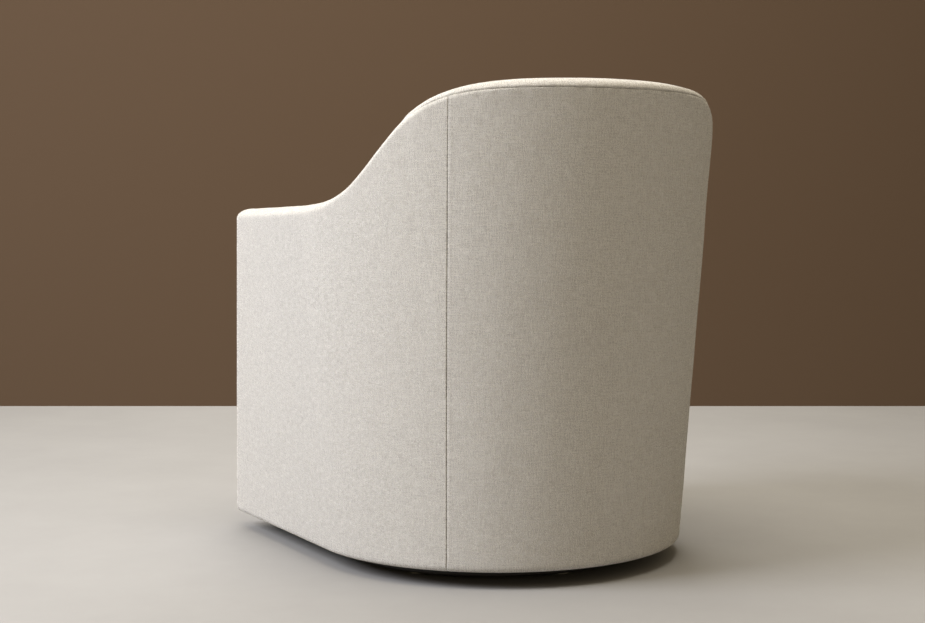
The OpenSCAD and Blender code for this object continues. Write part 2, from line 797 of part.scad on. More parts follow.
module king_washer() {
    color(steel) translate([0, 0, king_washer_z]) difference() {
        cylinder(h = king_washer_t, d = king_washer_d, $fn = 64);
        translate([0, 0, -over])
            cylinder(h = king_washer_t + 2 * over, r = king_d / 2 + bolt_play, $fn = 64);
    }
}

module king_nut() {
    color(steel) translate([0, 0, king_nut_z]) difference() {
        cylinder(h = king_nut_h, d = king_nut_w, $fn = 6);
        translate([0, 0, -over])
            cylinder(h = king_nut_h + 2 * over, r = king_d / 2 + bolt_play, $fn = 64);
    }
}

// Flanged bush, pressed up through the upper plate
module pivot_bush() {
    low = swivel_top - plate_t - bush_flange;
    color(nylon) difference() {
        union() {
            translate([0, 0, low]) cylinder(h = bush_flange + plate_t, d = bush_d, $fn = 64);
            translate([0, 0, low]) cylinder(h = bush_flange, d = bush_d + 2 * bush_wall, $fn = 64);
        }
        translate([0, 0, low - over]) cylinder(h = bush_flange + plate_t + 2 * over,
            r = king_d / 2 + king_play, $fn = 64);
    }
}

module frame_bolts() {
    color(steel) bolt_places(swivel_top - plate_t) {
        translate([0, 0, -nut_h]) cylinder(h = nut_h, d = nut_w, $fn = 6);
        cylinder(h = plate_t + swivel_rail_h + nut_h + over, d = bolt_d, $fn = 32);
    }
}

module frame_nuts() {
    color(steel) bolt_places(swivel_rail_top) flange_nut();
}

// Seat springing

// Place and height of a cross run
function to_step(a) = round(a / wire_step) * wire_step;
function run_y(i) = to_step(spring_front + i * spring_pitch);
function run_z(i) = to_step(spring_z + spring_rise * (1 - pow(2 * i / (spring_runs - 1) - 1, 2)));

// One wire: cross runs joined by half loops at alternate ends, arched upwards
module spring() {
    for (i = [0:spring_runs - 1]) translate([0, run_y(i), run_z(i)]) rotate([0, 90, 0])
        cylinder(h = 2 * spring_reach, d = spring_wire, center = true, $fn = 24);
    for (i = [0:spring_runs - 2]) {
        ahead = run_y(i + 1) - run_y(i);
        climb = run_z(i + 1) - run_z(i);
        turn = i % 2 * 180;
        translate([0, (run_y(i) + run_y(i + 1)) / 2, (run_z(i) + run_z(i + 1)) / 2])
            rotate([atan2(climb, ahead), 0, 0]) rotate([0, turn, 0])
            translate([spring_reach, 0, 0]) rotate([0, 0, -90])
            rotate_extrude(angle = 180, $fn = 32)
            translate([norm([climb, ahead]) / 2, 0]) circle(d = spring_wire, $fn = 24);
    }
}

module spring_rows() {
    for (i = [0:spring_count - 1])
        translate([(i - (spring_count - 1) / 2) * spring_space, 0, 0]) children();
}

module seat_springs() {
    color(steel) spring_rows() spring();
}

// Strap of a clip: a ring round the wire and a tab nailed to the rail
module clip_outline() {
    difference() {
        union() {
            circle(r = clip_r, $fn = 32);
            translate([-clip_tab, -clip_r]) square([clip_tab, clip_t]);
        }
        circle(r = spring_wire / 2 + bolt_play, $fn = 32);
    }
}

module spring_clips() {
    color(steel) spring_rows() {
        across(clip_w) translate([spring_front, spring_z]) clip_outline();
        across(clip_w) translate([spring_back, spring_z]) mirror([1, 0]) clip_outline();
    }
}

module tie_wire() {
    run = floor(spring_runs / 2);
    below = (spring_wire + tie_wire_d) / 2 + bolt_play;
    color(steel) translate([0, run_y(run), run_z(run) - below]) rotate([0, 90, 0])
        cylinder(h = (spring_count - 1) * spring_space + spring_w, d = tie_wire_d,
            center = true, $fn = 24);
}

// Deck under the cushion

module deck_pad() {
    clip_top = spring_z + clip_r + seat_gap;
    rear_y = spring_back + clip_tab + seat_gap;
    under = concat([[deck_y, clip_top]], [for (i = [1:spring_runs - 2])
        [run_y(i), max(clip_top, run_z(i) + spring_wire / 2 + seat_gap)]],
        [[rear_y, clip_top], [rear_y, pad_foot]]);
    color(felt) intersection() {
        across(2 * base_r) polygon(concat(under,
            [[arc_y + base_r, pad_foot], [arc_y + base_r, deck_z], [deck_y, deck_z]]));
        translate([0, 0, seat_ring_z]) linear_extrude(deck_top - seat_ring_z)
            inner_plan(pad_foot, layer_gap, deck_y);
    }
}

module deck_cloth() {
    color(linen) translate([0, 0, deck_z + seat_gap]) linear_extrude(deck_cloth_t)
        inner_plan(pad_foot, layer_gap, deck_y);
}

module front_edge_roll() {
    top = deck_top - cover_t - layer_gap;
    round = border_round - cover_t - layer_gap;
    rear = frame_y + edge_roll_w;
    color(foam) across(2 * (base_r - wall_t - layer_gap)) polygon(concat(
        [[front_board_y, pad_foot]], bend(front_board_y + round, top - round, round, 180, 90),
        bend(rear - round, top - round, round, 90, 0), [[rear, pad_foot]]));
}

module front_board() {
    half = base_r - wall_t - layer_gap;
    color(fibre) translate([-half, front_board_y, board_z])
        cube([2 * half, board_t, seat_ring_top - board_z]);
}

// Cloth over the chair's front, turned in under the bottom ring and over the edge roll
function border_line(depth) = concat(
    [[border_y + hem_return, hem_z + depth]],
    bend(border_y + hem_roll, hem_z + hem_roll, hem_roll - depth, 270, 180),
    bend(border_y + border_round, deck_top - border_round, border_round - depth, 180, 90),
    [[deck_y - seat_gap, deck_top - depth]]);

module front_border() {
    inner = border_line(cover_t);
    color(linen) across(2 * (base_r - wall_t - layer_gap))
        polygon(concat(border_line(0), [for (i = [len(inner) - 1:-1:0]) inner[i]]));
}

// Back and arm padding

module back_webbing() {
    color(felt) for (i = [0:web_count - 1]) {
        edges = [for (h = [web_w, 0]) web_z + i * web_space + h];
        slab([for (s = places(-inside_seam, inside_seam)) [for (z = edges) let (t = along(s, z))
                wall(t, z, pad_back(t, z) - layer_gap)]],
            [for (s = places(-inside_seam, inside_seam)) [for (z = edges) let (t = along(s, z))
                wall(t, z, pad_back(t, z) - layer_gap - web_t)]]);
    }
}

module back_foam() {
    color(foam) slab(
        [for (s = places(-inside_seam, inside_seam)) [for (z = down(back_levels(pad_top(s))))
            let (t = along(s, z)) wall(t, z, inside(t, z) - board_in)]],
        [for (s = places(-inside_seam, inside_seam)) [for (z = down(back_levels(pad_top(s))))
            let (t = along(s, z)) wall(t, z, pad_back(t, z))]]);
}

module arm_foam_left() {
    color(foam) slab(
        [for (s = places(inside_seam, last)) [for (z = arm_levels(s))
            let (t = along(s, z)) wall(t, z, inside(t, z) - board_in)]],
        [for (s = places(inside_seam, last)) [for (z = arm_levels(s))
            let (t = along(s, z)) wall(t, z, pad_back(t, z))]]);
}

module arm_foam_right() {
    mirror([1, 0, 0]) arm_foam_left();
}

// Foam bent over the crest rail, with a leg down each side of it
module crest_foam() {
    depth = cover_t + 2 * layer_gap;
    hug = crest_rail_in - rail_gap;
    far = wall_t - hug;
    tops = [for (s = places(-last, last)) above(s)];
    color(foam) slab(
        [for (s = tops) let (low = crest(s) - rail_drop + layer_gap)
            concat([wall(s, low, depth)], [for (a = spread(0, 180, 4)) on_roll(s, a, depth)],
            [wall(s, low, wall_t - depth)])],
        [for (s = tops) let (low = crest(s) - rail_drop + layer_gap,
            top = crest(s) - crest_cap + rail_gap, half = (low + top) / 2)
            [wall(s, low, hug), wall(s, half, hug), wall(s, top, hug), wall(s, top, roll_r),
            wall(s, top, far), wall(s, half, far), wall(s, low, far)]]);
}

// Fibre boards behind the outside panels

module shell_board(from, to) {
    color(fibre) slab(
        [for (s = places(from, to)) [for (z = outside_levels(s))
            wall(along(s, z), z, board_in)]],
        [for (s = places(from, to)) [for (z = outside_levels(s))
            wall(along(s, z), z, board_in + board_t)]]);
}

module back_board() {
    shell_board(-back_steps, back_steps);
}

module side_board_left() {
    shell_board(back_steps, last);
}

module side_board_right() {
    mirror([1, 0, 0]) side_board_left();
}

// Outside covers, from the turned-in hem up the wall and over the roll to the top seam

function outside_line(s, depth, roll_steps) = let (t = above(s), up = outside_levels(s))
    concat([wall(s, hem_z + depth, hem_return)],
    [for (a = spread(0, 90, 2)) on_hem(s, a, depth)],
    [for (i = [1:len(up) - 1]) wall(along(s, up[i]), up[i], depth)],
    [for (a = spread(0, seam_turn(t) - seam_slack(t), roll_steps)) on_roll(t, a, depth)]);

module outside_cover(from, to, roll_steps) {
    color(linen) slab(
        [for (s = places(from, to)) outside_line(s, 0, roll_steps)],
        [for (s = places(from, to)) outside_line(s, cover_t, roll_steps)]);
}

module outside_back_panel() {
    outside_cover(-back_steps, back_steps, 2);
}

module outside_arm_panel_left() {
    outside_cover(back_steps, last, 6);
}

module outside_arm_panel_right() {
    mirror([1, 0, 0]) outside_arm_panel_left();
}

// Inside covers, from the top seam over the rest of the roll and down to the seat ring

function inside_line(s, depth, roll_steps, levels) = let (t = above(s)) concat(
    [for (a = spread(seam_turn(t) + seam_slack(t), 180, roll_steps)) on_roll(t, a, depth)],
    [for (z = levels) let (p = along(s, z)) wall(p, z, inside(p, z) - depth)]);

module inside_back_cover() {
    color(linen) slab(
        [for (s = places(-inside_seam, inside_seam)) inside_line(s, 0, 6, down(back_levels(pad_top(s))))],
        [for (s = places(-inside_seam, inside_seam))
            inside_line(s, cover_t, 6, down(back_levels(pad_top(s))))]);
}

module inside_arm_cover_left() {
    color(linen) slab(
        [for (s = places(inside_seam, last)) inside_line(s, 0, 4, arm_levels(s))],
        [for (s = places(inside_seam, last)) inside_line(s, cover_t, 4, arm_levels(s))]);
}

module inside_arm_cover_right() {
    mirror([1, 0, 0]) inside_arm_cover_left();
}

// Padded facing on the front of an arm: outline of the wall, crowned towards its middle

function facing_outline(share) =
    let (x = base_r - roll_r, top = roll_z(spot(last)), r = roll_r * (1 - share),
        low = hem_z + roll_r * share, foot = hem_roll * (1 - share / 2))
    concat(bend(x + r - foot, low + foot, foot, -90, 0), [[x + r, (low + top) / 2]],
        [for (a = spread(0, 180, 8)) [x + r * cos(a), top + roll_h * (1 - share) * sin(a)]],
        [[x - r, (low + top) / 2]], bend(x - r + foot, low + foot, foot, 180, 270));

module arm_facing_left() {
    // Inset from the edge and height over the back face, as shares of half the facing's width
    // and of its whole crown
    inset_shares = [0, 0, 0.06, 0.3, 0.7];
    rise_shares = [0, 0.45, 0.65, 0.9, 1];
    whole = facing_t + facing_crown;
    color(linen) stack([for (i = [0:4]) [for (p = facing_outline(inset_shares[i]))
        [p[0], arc_y - side_len + facing_t - rise_shares[i] * whole, p[1]]]]);
}

module arm_facing_right() {
    mirror([1, 0, 0]) arm_facing_left();
}

module dust_cover() {
    color(black) translate([0, 0, hem_z - seat_gap - dust_t]) linear_extrude(dust_t)
        difference() {
            plan(hem_z, dust_inset, border_y + dust_inset);
            circle(r = bolt_place * sqrt(2) + bolt_flange_d / 2 + dust_room, $fn = 180);
        }
}

// Loose cushion

// Outline at its fullest: along the inside covers, round the front corners, drawn in at the front
function cushion_depth(s) = inside(s, cushion_z) + cushion_gap;
cushion_bend_s = spot_at_y(cushion_bend_y);
cushion_half = wall(cushion_bend_s, cushion_z, cushion_depth(cushion_bend_s))[0];
cushion_outline = let (flat = cushion_half - cushion_corner,
    corner = bend(flat, cushion_bend_y, cushion_corner, 0, -90)) concat(
    [for (k = [last:-2:-last]) let (p = wall(spot(k), cushion_z, cushion_depth(spot(k))))
        if (p[1] > cushion_bend_y + cushion_corner / 2) [p[0], p[1]]],
    [for (p = corner) [-p[0], p[1]]],
    [for (u = spread(-0.75, 0.75, 6)) [u * flat, cushion_y + cushion_draw * (1 - u * u)]],
    [for (i = [3:-1:0]) corner[i]]);
cushion_mid_y = (cushion_y + arc_y + reach_at(0, cushion_z, cushion_depth(0))) / 2;

// Ring of the cushion: scale about its middle, and height
function cushion_ring(scale, z) = [for (p = cushion_outline)
    [p[0] * scale, cushion_mid_y + (p[1] - cushion_mid_y) * scale, z]];

// Boxed form with its seams proud of the boxing and a crowned top, drawn in by a depth
module cushion_form(depth) {
    // Inset in seam radii and height in seam radii from the nearer face, up one side
    inset_shares = [1, 0.3, 0];
    rise_shares = [0, 0.3, 1];
    crown_shares = [0.15, 0.35, 0.6, 0.85];
    low = cushion_z + depth;
    high = lumbar_z - depth;
    function scale_at(inset) = 1 - (inset + depth) / cushion_half;
    stack(concat(
        [for (i = [0:2]) cushion_ring(scale_at(inset_shares[i] * cushion_edge),
            low + rise_shares[i] * cushion_edge)],
        [cushion_ring(scale_at(cushion_edge / 4), (low + high) / 2)],
        [for (i = [2:-1:0]) cushion_ring(scale_at(inset_shares[i] * cushion_edge),
            high - rise_shares[i] * cushion_edge)],
        [for (u = crown_shares) cushion_ring(scale_at(cushion_edge) * (1 - u),
            high + cushion_crown * (1 - pow(1 - u, 2)))]));
}

// Opening for the zip in the rear of the boxing
module zip_opening(slack) {
    translate([-zip_len / 2 - slack, arc_y, (cushion_z + lumbar_z - zip_w) / 2 - slack])
        cube([zip_len + 2 * slack, base_r, zip_w + 2 * slack]);
}

module cushion_cover() {
    color(linen) difference() {
        cushion_form(0);
        cushion_form(cushion_cover_t);
        zip_opening(seat_gap);
    }
}

module cushion_core() {
    color(foam) cushion_form(cushion_cover_t + seat_gap);
}

module cushion_zip() {
    color(linen) intersection() {
        difference() {
            cushion_form(seat_gap);
            cushion_form(cushion_cover_t - seat_gap);
        }
        zip_opening(0);
    }
}

floor_glides();
plinth();
plinth_bolts();
plinth_nuts();
lower_swivel_plate();
king_pin();
king_washer();
king_nut();
ball_cage();
bearing_balls();
upper_swivel_plate();
pivot_bush();
frame_bolts();
frame_nuts();
swivel_rails();
rail_screws();
bottom_ring();
seat_ring();
back_ribs();
arm_ribs();
front_posts();
crest_rail();
rear_spring_rail();
front_seat_rail();
corner_blocks();
seat_springs();
spring_clips();
tie_wire();
back_webbing();
back_board();
side_board_left();
side_board_right();
front_board();
back_foam();
arm_foam_left();
arm_foam_right();
crest_foam();
front_edge_roll();
deck_pad();
deck_cloth();
front_border();
arm_facing_left();
arm_facing_right();
inside_back_cover();
inside_arm_cover_left();
inside_arm_cover_right();
outside_back_panel();
outside_arm_panel_left();
outside_arm_panel_right();
dust_cover();
cushion_cover();
cushion_core();
cushion_zip();
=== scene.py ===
import bpy
import math
import numpy as np
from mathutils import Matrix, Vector


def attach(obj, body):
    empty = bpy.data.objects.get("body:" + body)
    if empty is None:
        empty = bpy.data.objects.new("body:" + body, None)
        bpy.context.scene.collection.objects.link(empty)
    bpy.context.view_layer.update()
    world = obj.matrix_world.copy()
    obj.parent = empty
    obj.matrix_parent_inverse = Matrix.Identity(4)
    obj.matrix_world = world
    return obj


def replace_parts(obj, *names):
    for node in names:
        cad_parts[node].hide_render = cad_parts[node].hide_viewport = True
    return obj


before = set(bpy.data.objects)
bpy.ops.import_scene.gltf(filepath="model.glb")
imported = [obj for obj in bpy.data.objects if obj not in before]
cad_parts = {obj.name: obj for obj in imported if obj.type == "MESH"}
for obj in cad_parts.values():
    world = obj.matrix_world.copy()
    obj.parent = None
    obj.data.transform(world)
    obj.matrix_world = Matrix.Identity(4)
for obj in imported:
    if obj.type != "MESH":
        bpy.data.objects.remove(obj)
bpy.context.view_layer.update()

# The camera stands behind the chair and to the sitter's left, level, a little higher than the
# arms. Its frame is moved down with the lens shift, so upright lines stay upright.
camera_spot, camera_turn = (1.4195, 2.4896, 0.599), 28.75


def linked(name, data):
    """Object of a camera, lamp or mesh, linked into the scene."""
    made = bpy.data.objects.new(name, data)
    bpy.context.scene.collection.objects.link(made)
    return made


camera_data = bpy.data.cameras.new("camera")
camera = linked("camera", camera_data)
camera.location = camera_spot
camera.rotation_euler = (math.radians(90), 0, math.radians(180 - camera_turn))
camera_data.sensor_width = 36
camera_data.lens = 64.4
camera_data.shift_y = -0.1205
camera_data.clip_end = 60
bpy.context.scene.camera = camera

# The studio: a plain pale floor, a plain warm wall that shows only from the camera's side of
# it, a large soft lamp high beside the arm, soft lamps over and in front of the chair and a dim
# warm sky.
floor_half, wall_half, wall_h, wall_away = 20, 12, 8, 4.81


def feed(tree, node, inputs):
    """Give a node its inputs by name or number: sockets are linked, the rest are constants."""
    for entry, value in inputs.items():
        if isinstance(value, bpy.types.NodeSocket):
            tree.links.new(value, node.inputs[entry])
        else:
            node.inputs[entry].default_value = value


def add(tree, kind, inputs, **settings):
    """New node of a kind with its settings and inputs. Gives its outputs."""
    node = tree.nodes.new(kind)
    for setting, value in settings.items():
        setattr(node, setting, value)
    feed(tree, node, inputs)
    return node.outputs


def object_place(tree):
    """Object coordinates, in metres."""
    return add(tree, "ShaderNodeTexCoord", {})["Object"]


def noise(tree, place, scale, detail=2.0, output="Fac", **more):
    """Soft noise at a place."""
    inputs = {"Vector": place, "Scale": scale, "Detail": detail, **more}
    return add(tree, "ShaderNodeTexNoise", inputs)[output]


def between(tree, share, low, high):
    """Colour that goes from low to high with a share of 0 to 1. low may be a socket."""
    low = low if isinstance(low, bpy.types.NodeSocket) else (*low, 1)
    return add(tree, "ShaderNodeMix", {"Factor": share, "A": low, "B": (*high, 1)},
               data_type="RGBA")["Result"]


def new_material(name, color, roughness, **more):
    """Principled material, its constants on the shader itself. Gives it, its tree and shader."""
    material = bpy.data.materials.new(name)
    material.use_nodes = True
    tree = material.node_tree
    shader = tree.nodes["Principled BSDF"]
    feed(tree, shader, {"Base Color": (*color, 1), "Roughness": roughness, **more})
    return material, tree, shader


def plain_plane(name, corners, material):
    """A flat quad through four corners."""
    mesh = bpy.data.meshes.new(name)
    mesh.from_pydata([tuple(c) for c in corners], [], [(0, 1, 2, 3)])
    mesh.materials.append(material)
    plane = linked(name, mesh)
    return plane


pale_floor, tree, shader = new_material("pale_floor", (0.33, 0.325, 0.32), 0.85)
grain = noise(tree, object_place(tree), 3.0, 10, Roughness=0.7)
feed(tree, shader, {"Base Color": between(tree, grain, (0.30, 0.295, 0.29), (0.37, 0.365, 0.36))})
plain_plane("studio_floor", [(-floor_half, -floor_half, 0), (floor_half, -floor_half, 0),
                             (floor_half, floor_half, 0), (-floor_half, floor_half, 0)],
            pale_floor)

warm_wall, tree, shader = new_material("warm_wall", (0.095, 0.058, 0.031), 0.9)
behind = add(tree, "ShaderNodeNewGeometry", {})["Backfacing"]
clear = add(tree, "ShaderNodeBsdfTransparent", {})["BSDF"]
either = add(tree, "ShaderNodeMixShader", {"Fac": behind, 1: shader.outputs["BSDF"], 2: clear})
feed(tree, tree.nodes["Material Output"], {"Surface": either["Shader"]})
turn = math.radians(camera_turn)
away = np.array([-math.sin(turn), -math.cos(turn), 0.0])
along_wall = np.array([-away[1], away[0], 0.0])
wall_foot = np.array([*camera_spot[:2], 0.0]) + away * wall_away
near_end, far_end = wall_foot + along_wall * wall_half, wall_foot - along_wall * wall_half
backdrop = plain_plane("studio_wall", [near_end, far_end, far_end + [0, 0, wall_h],
                                       near_end + [0, 0, wall_h]], warm_wall)
backdrop.visible_shadow = False
backdrop.visible_diffuse = False
backdrop.visible_glossy = False


def soft_lamp(name, place, aim, size, power, color):
    """A square area lamp at a place, turned to face a point."""
    data = bpy.data.lights.new(name, "AREA")
    data.shape = "SQUARE"
    data.size = size
    data.energy = power
    data.color = color
    lamp = linked(name, data)
    lamp.location = place
    lamp.rotation_euler = (Vector(aim) - Vector(place)).to_track_quat("-Z", "Y").to_euler()


soft_lamp("key_lamp", (3.3, -0.45, 2.35), (0.15, 0.0, 0.42), 2.0, 168, (0.92, 0.935, 1.0))
soft_lamp("top_lamp", (0.3, 0.4, 3.0), (0.0, 0.1, 0.5), 2.0, 68, (1.0, 0.93, 0.80))
soft_lamp("front_lamp", (-0.9, -2.6, 2.0), (0, 0, 0.4), 2.0, 46, (1.0, 0.97, 0.93))
world = bpy.data.worlds.new("studio_sky")
bpy.context.scene.world = world
world.use_nodes = True
tree = world.node_tree
seen = add(tree, "ShaderNodeLightPath", {})["Is Camera Ray"]
sky = between(tree, seen, (0.325, 0.265, 0.178), (0.50, 0.47, 0.43))
feed(tree, tree.nodes["Background"], {"Color": sky, "Strength": 1.0})
bpy.context.scene.view_settings.view_transform = "Standard"

# Outside covers: cream linen weave quilted to wadding, pulled down over the shell from the top
# seam and turned in under the bottom ring. Two arm panels, which roll over the tops of the arms,
# meet the back panel in upright seams.
base_r, side_len, lean, seam_lean = 0.316, 0.404, 0.082, 0.021
hem_z, arm_z, arm_fall, crest_z, crest_fall = 0.026, 0.590, 0.007, 0.786, 0.013
swoop_s, swoop_soft = 0.328, 0.040
wall_t, roll_h, cover_t, hem_roll, hem_return = 0.064, 0.018, 0.005, 0.009, 0.024
facing_t, facing_crown, layer_gap, seam_gap = 0.0054, 0.003, 0.0006, 0.0004
back_turn, back_turn_rise, arm_turn, half_seam_turn = 5, 21, 150, 0.35
swing_from, swing_over, rise_end = 46, 26, 0.42
cloth_step, cloth_back = 0.0055, cover_t - 0.0002
roll_r = wall_t / 2
quarter = base_r * math.pi / 2
seam_s = base_r * math.radians(43.2)
cover_end = side_len - facing_t - layer_gap
back_r = base_r + lean * (crest_z - roll_h - hem_z)
arc_y = (side_len + facing_crown - back_r) / 2


def lean_at(s):
    """Outward lean at a place: full round the back, easing to none at the arm's front."""
    t = np.maximum(0, np.abs(s) - quarter) / side_len
    return lean * (1 - t) ** 2 * (1 + 2 * t)


def wall(s, z, depth):
    """Point of the shell: s round it from the middle of the back, z up, depth in from outside."""
    s, z, depth = np.broadcast_arrays(*(np.asarray(a, float) for a in (s, z, depth)))
    r = base_r + lean_at(s) * (z - hem_z) - depth
    a = np.minimum(np.abs(s), quarter) / base_r
    return np.stack([np.sign(s) * r * np.sin(a),
                     arc_y + r * np.cos(a) - np.maximum(0, np.abs(s) - quarter), z], -1)


def crest(s):
    """Height of the top: an S-shaped curve from the arms up to the back, which falls a little
    from its middle to its sides, and arms that fall a little to their fronts."""
    return (arm_z - arm_fall * np.maximum(0, np.abs(s) - quarter) / side_len
            + (crest_z - arm_z - crest_fall * (s / base_r) ** 2)
            / (1 + np.exp((np.abs(s) - swoop_s) / swoop_soft)))


def roll_z(s):
    """Height at which the rounding over the top starts."""
    return crest(s) - roll_h


def along(s, z):
    """Place at a height of the line that leaves the hem at s: lines slant with the seams."""
    a = np.abs(s)
    share = np.where(a < seam_s, a / seam_s, np.maximum(0, quarter - a) / (quarter - seam_s))
    return s - np.sign(s) * seam_lean * (z - hem_z) * share


def above(s):
    """The same at the top."""
    return along(s, roll_z(s))


def on_roll(s, angle, depth=0.0):
    """Point on the half ellipse over the top, at an angle in degrees from the outside."""
    a = np.radians(angle)
    return wall(s, roll_z(s) + (roll_h - depth) * np.sin(a), roll_r - (roll_r - depth) * np.cos(a))


def seam_turn(s):
    """Angle of the top seam round the roll, in degrees: low outside on the back, rising towards
    its sides, and then over the roll to the inside of the arms in a smooth swing."""
    u = (np.degrees(np.minimum(np.abs(s), quarter) / base_r) - swing_from) / swing_over
    u = np.clip(u, 0, 1)
    u = u * u * (3 - 2 * u)
    low = back_turn + back_turn_rise * (np.minimum(np.abs(s), rise_end) / seam_s) ** 2
    return low + (arm_turn - low) * u


def graded(length, step):
    """Places from 0 to length, close together near both ends and a step apart between them."""
    near = np.array([0, 0.4, 0.8, 1.3, 2, 3, 4, 5, 6.5, 8.5, 11.5]) / 1000
    count = int(round((length - 2 * near[-1]) / step))
    middle = np.linspace(near[-1], length - near[-1], count + 1)[1:-1]
    return np.concatenate([near, middle, (length - near)[::-1]])


def normals_of(grid):
    """Unit normals of a grid of points, from the cross product of its two directions."""
    n = np.cross(np.gradient(grid, axis=1), np.gradient(grid, axis=0))
    return n / np.maximum(np.linalg.norm(n, axis=-1, keepdims=True), 1e-12)


def run_length(grid, axis):
    """Distance along each line of a grid, from its start."""
    step = np.linalg.norm(np.diff(grid, axis=axis), axis=-1)
    zero = np.zeros_like(np.take(step, [0], axis))
    return np.concatenate([zero, np.cumsum(step, axis)], axis)


def tuck(distance, width, deep):
    """Quarter-round fall of the cloth into a seam: deep at the seam, none a width away."""
    u = np.clip(1 - distance / width, 0, 1)
    return deep * (1 - np.sqrt(1 - u * u))


def soft_swell(p, size, seed):
    """Slow uneven swell of padded cloth: a sum of slanting sines of the place, -1 to 1."""
    rng = np.random.default_rng(seed)
    waves, total = 7, 0
    for _ in range(waves):
        d = rng.normal(size=3)
        d *= 2 * math.pi / (size * rng.uniform(0.6, 1.7)) / np.linalg.norm(d)
        total = total + np.sin(p @ d + rng.uniform(0, 6.28))
    return total / waves


def grid_faces(rows, cols, round_rows=False, round_cols=False):
    """Quads of a grid of points, joined up at its ends where it goes round."""
    at = np.arange(rows * cols).reshape(rows, cols)
    if round_rows:
        at = np.concatenate([at, at[:1]])
    if round_cols:
        at = np.concatenate([at, at[:, :1]], 1)
    return np.stack([at[:-1, :-1], at[:-1, 1:], at[1:, 1:], at[1:, :-1]], -1).reshape(-1, 4)


def smooth_mesh(name, points, faces, corner_uv, material):
    """Smooth mesh of faces, with a place on the cloth for each of their corners."""
    mesh = bpy.data.meshes.new(name)
    mesh.from_pydata(points, [], faces)
    layer = mesh.uv_layers.new(name="cloth")
    layer.data.foreach_set("uv", corner_uv.astype(np.float32).reshape(-1))
    mesh.shade_smooth()
    mesh.materials.append(material)
    return mesh


def new_piece(name, points, faces, uv, material, corners=None):
    """Mesh object of points, quads and corner triangles, turned outwards by the sign of its
    volume. uv gives each point its place on the cloth in metres."""
    corners = np.zeros((0, 3), int) if corners is None else corners
    a, b, c, d = (points[faces[:, i]] for i in range(4))
    volume = np.einsum("ij,ij->", a, np.cross(b, c)) + np.einsum("ij,ij->", a, np.cross(c, d))
    a, b, c = (points[corners[:, i]] for i in range(3))
    if volume + np.einsum("ij,ij->", a, np.cross(b, c)) < 0:
        faces, corners = faces[:, ::-1], corners[:, ::-1]
    corner_uv = uv[np.concatenate([faces.reshape(-1), corners.reshape(-1)])]
    return linked(name, smooth_mesh(name, points, faces.tolist() + corners.tolist(), corner_uv,
                                    material))


def closed_sheet(name, front, back, uv, material):
    """Closed solid between two grids of points: their quads, and a rim round their edges."""
    rows, cols = front.shape[:2]
    size = rows * cols
    at = np.arange(size).reshape(rows, cols)
    quads = grid_faces(rows, cols)
    ring = np.concatenate([at[0, :-1], at[:-1, -1], at[-1, :0:-1], at[:0:-1, 0]])
    rim = np.stack([ring, ring + size, np.roll(ring, -1) + size, np.roll(ring, -1)], -1)
    points = np.concatenate([front.reshape(-1, 3), back.reshape(-1, 3)])
    faces = np.concatenate([quads, quads[:, ::-1] + size, rim])
    return new_piece(name, points, faces, np.concatenate([uv.reshape(-1, 2)] * 2), material)


def new_group(name, inputs, outputs):
    """Node group that takes a Place and other named numbers, each with its usual value, and puts
    out named numbers. Gives the group, the sockets it takes and its end node."""
    group = bpy.data.node_groups.new(name, "ShaderNodeTree")
    face = group.interface
    face.new_socket("Place", in_out="INPUT", socket_type="NodeSocketVector")
    for entry, value in inputs.items():
        face.new_socket(entry, in_out="INPUT", socket_type="NodeSocketFloat").default_value = value
    for entry in outputs:
        face.new_socket(entry, in_out="OUTPUT", socket_type="NodeSocketFloat")
    return group, add(group, "NodeGroupInput", {}), group.nodes.new("NodeGroupOutput")


def maths(tree, operation, *values, **settings):
    """Maths of sockets and numbers."""
    return add(tree, "ShaderNodeMath", dict(enumerate(values)), operation=operation, **settings)[0]


def vectors(tree, operation, *values):
    """Vector maths of sockets and constants. Scaling takes its number in a socket of its own."""
    inputs = dict(enumerate(values))
    if operation == "SCALE":
        inputs["Scale"] = inputs.pop(1)
    return add(tree, "ShaderNodeVectorMath", inputs, operation=operation)[0]


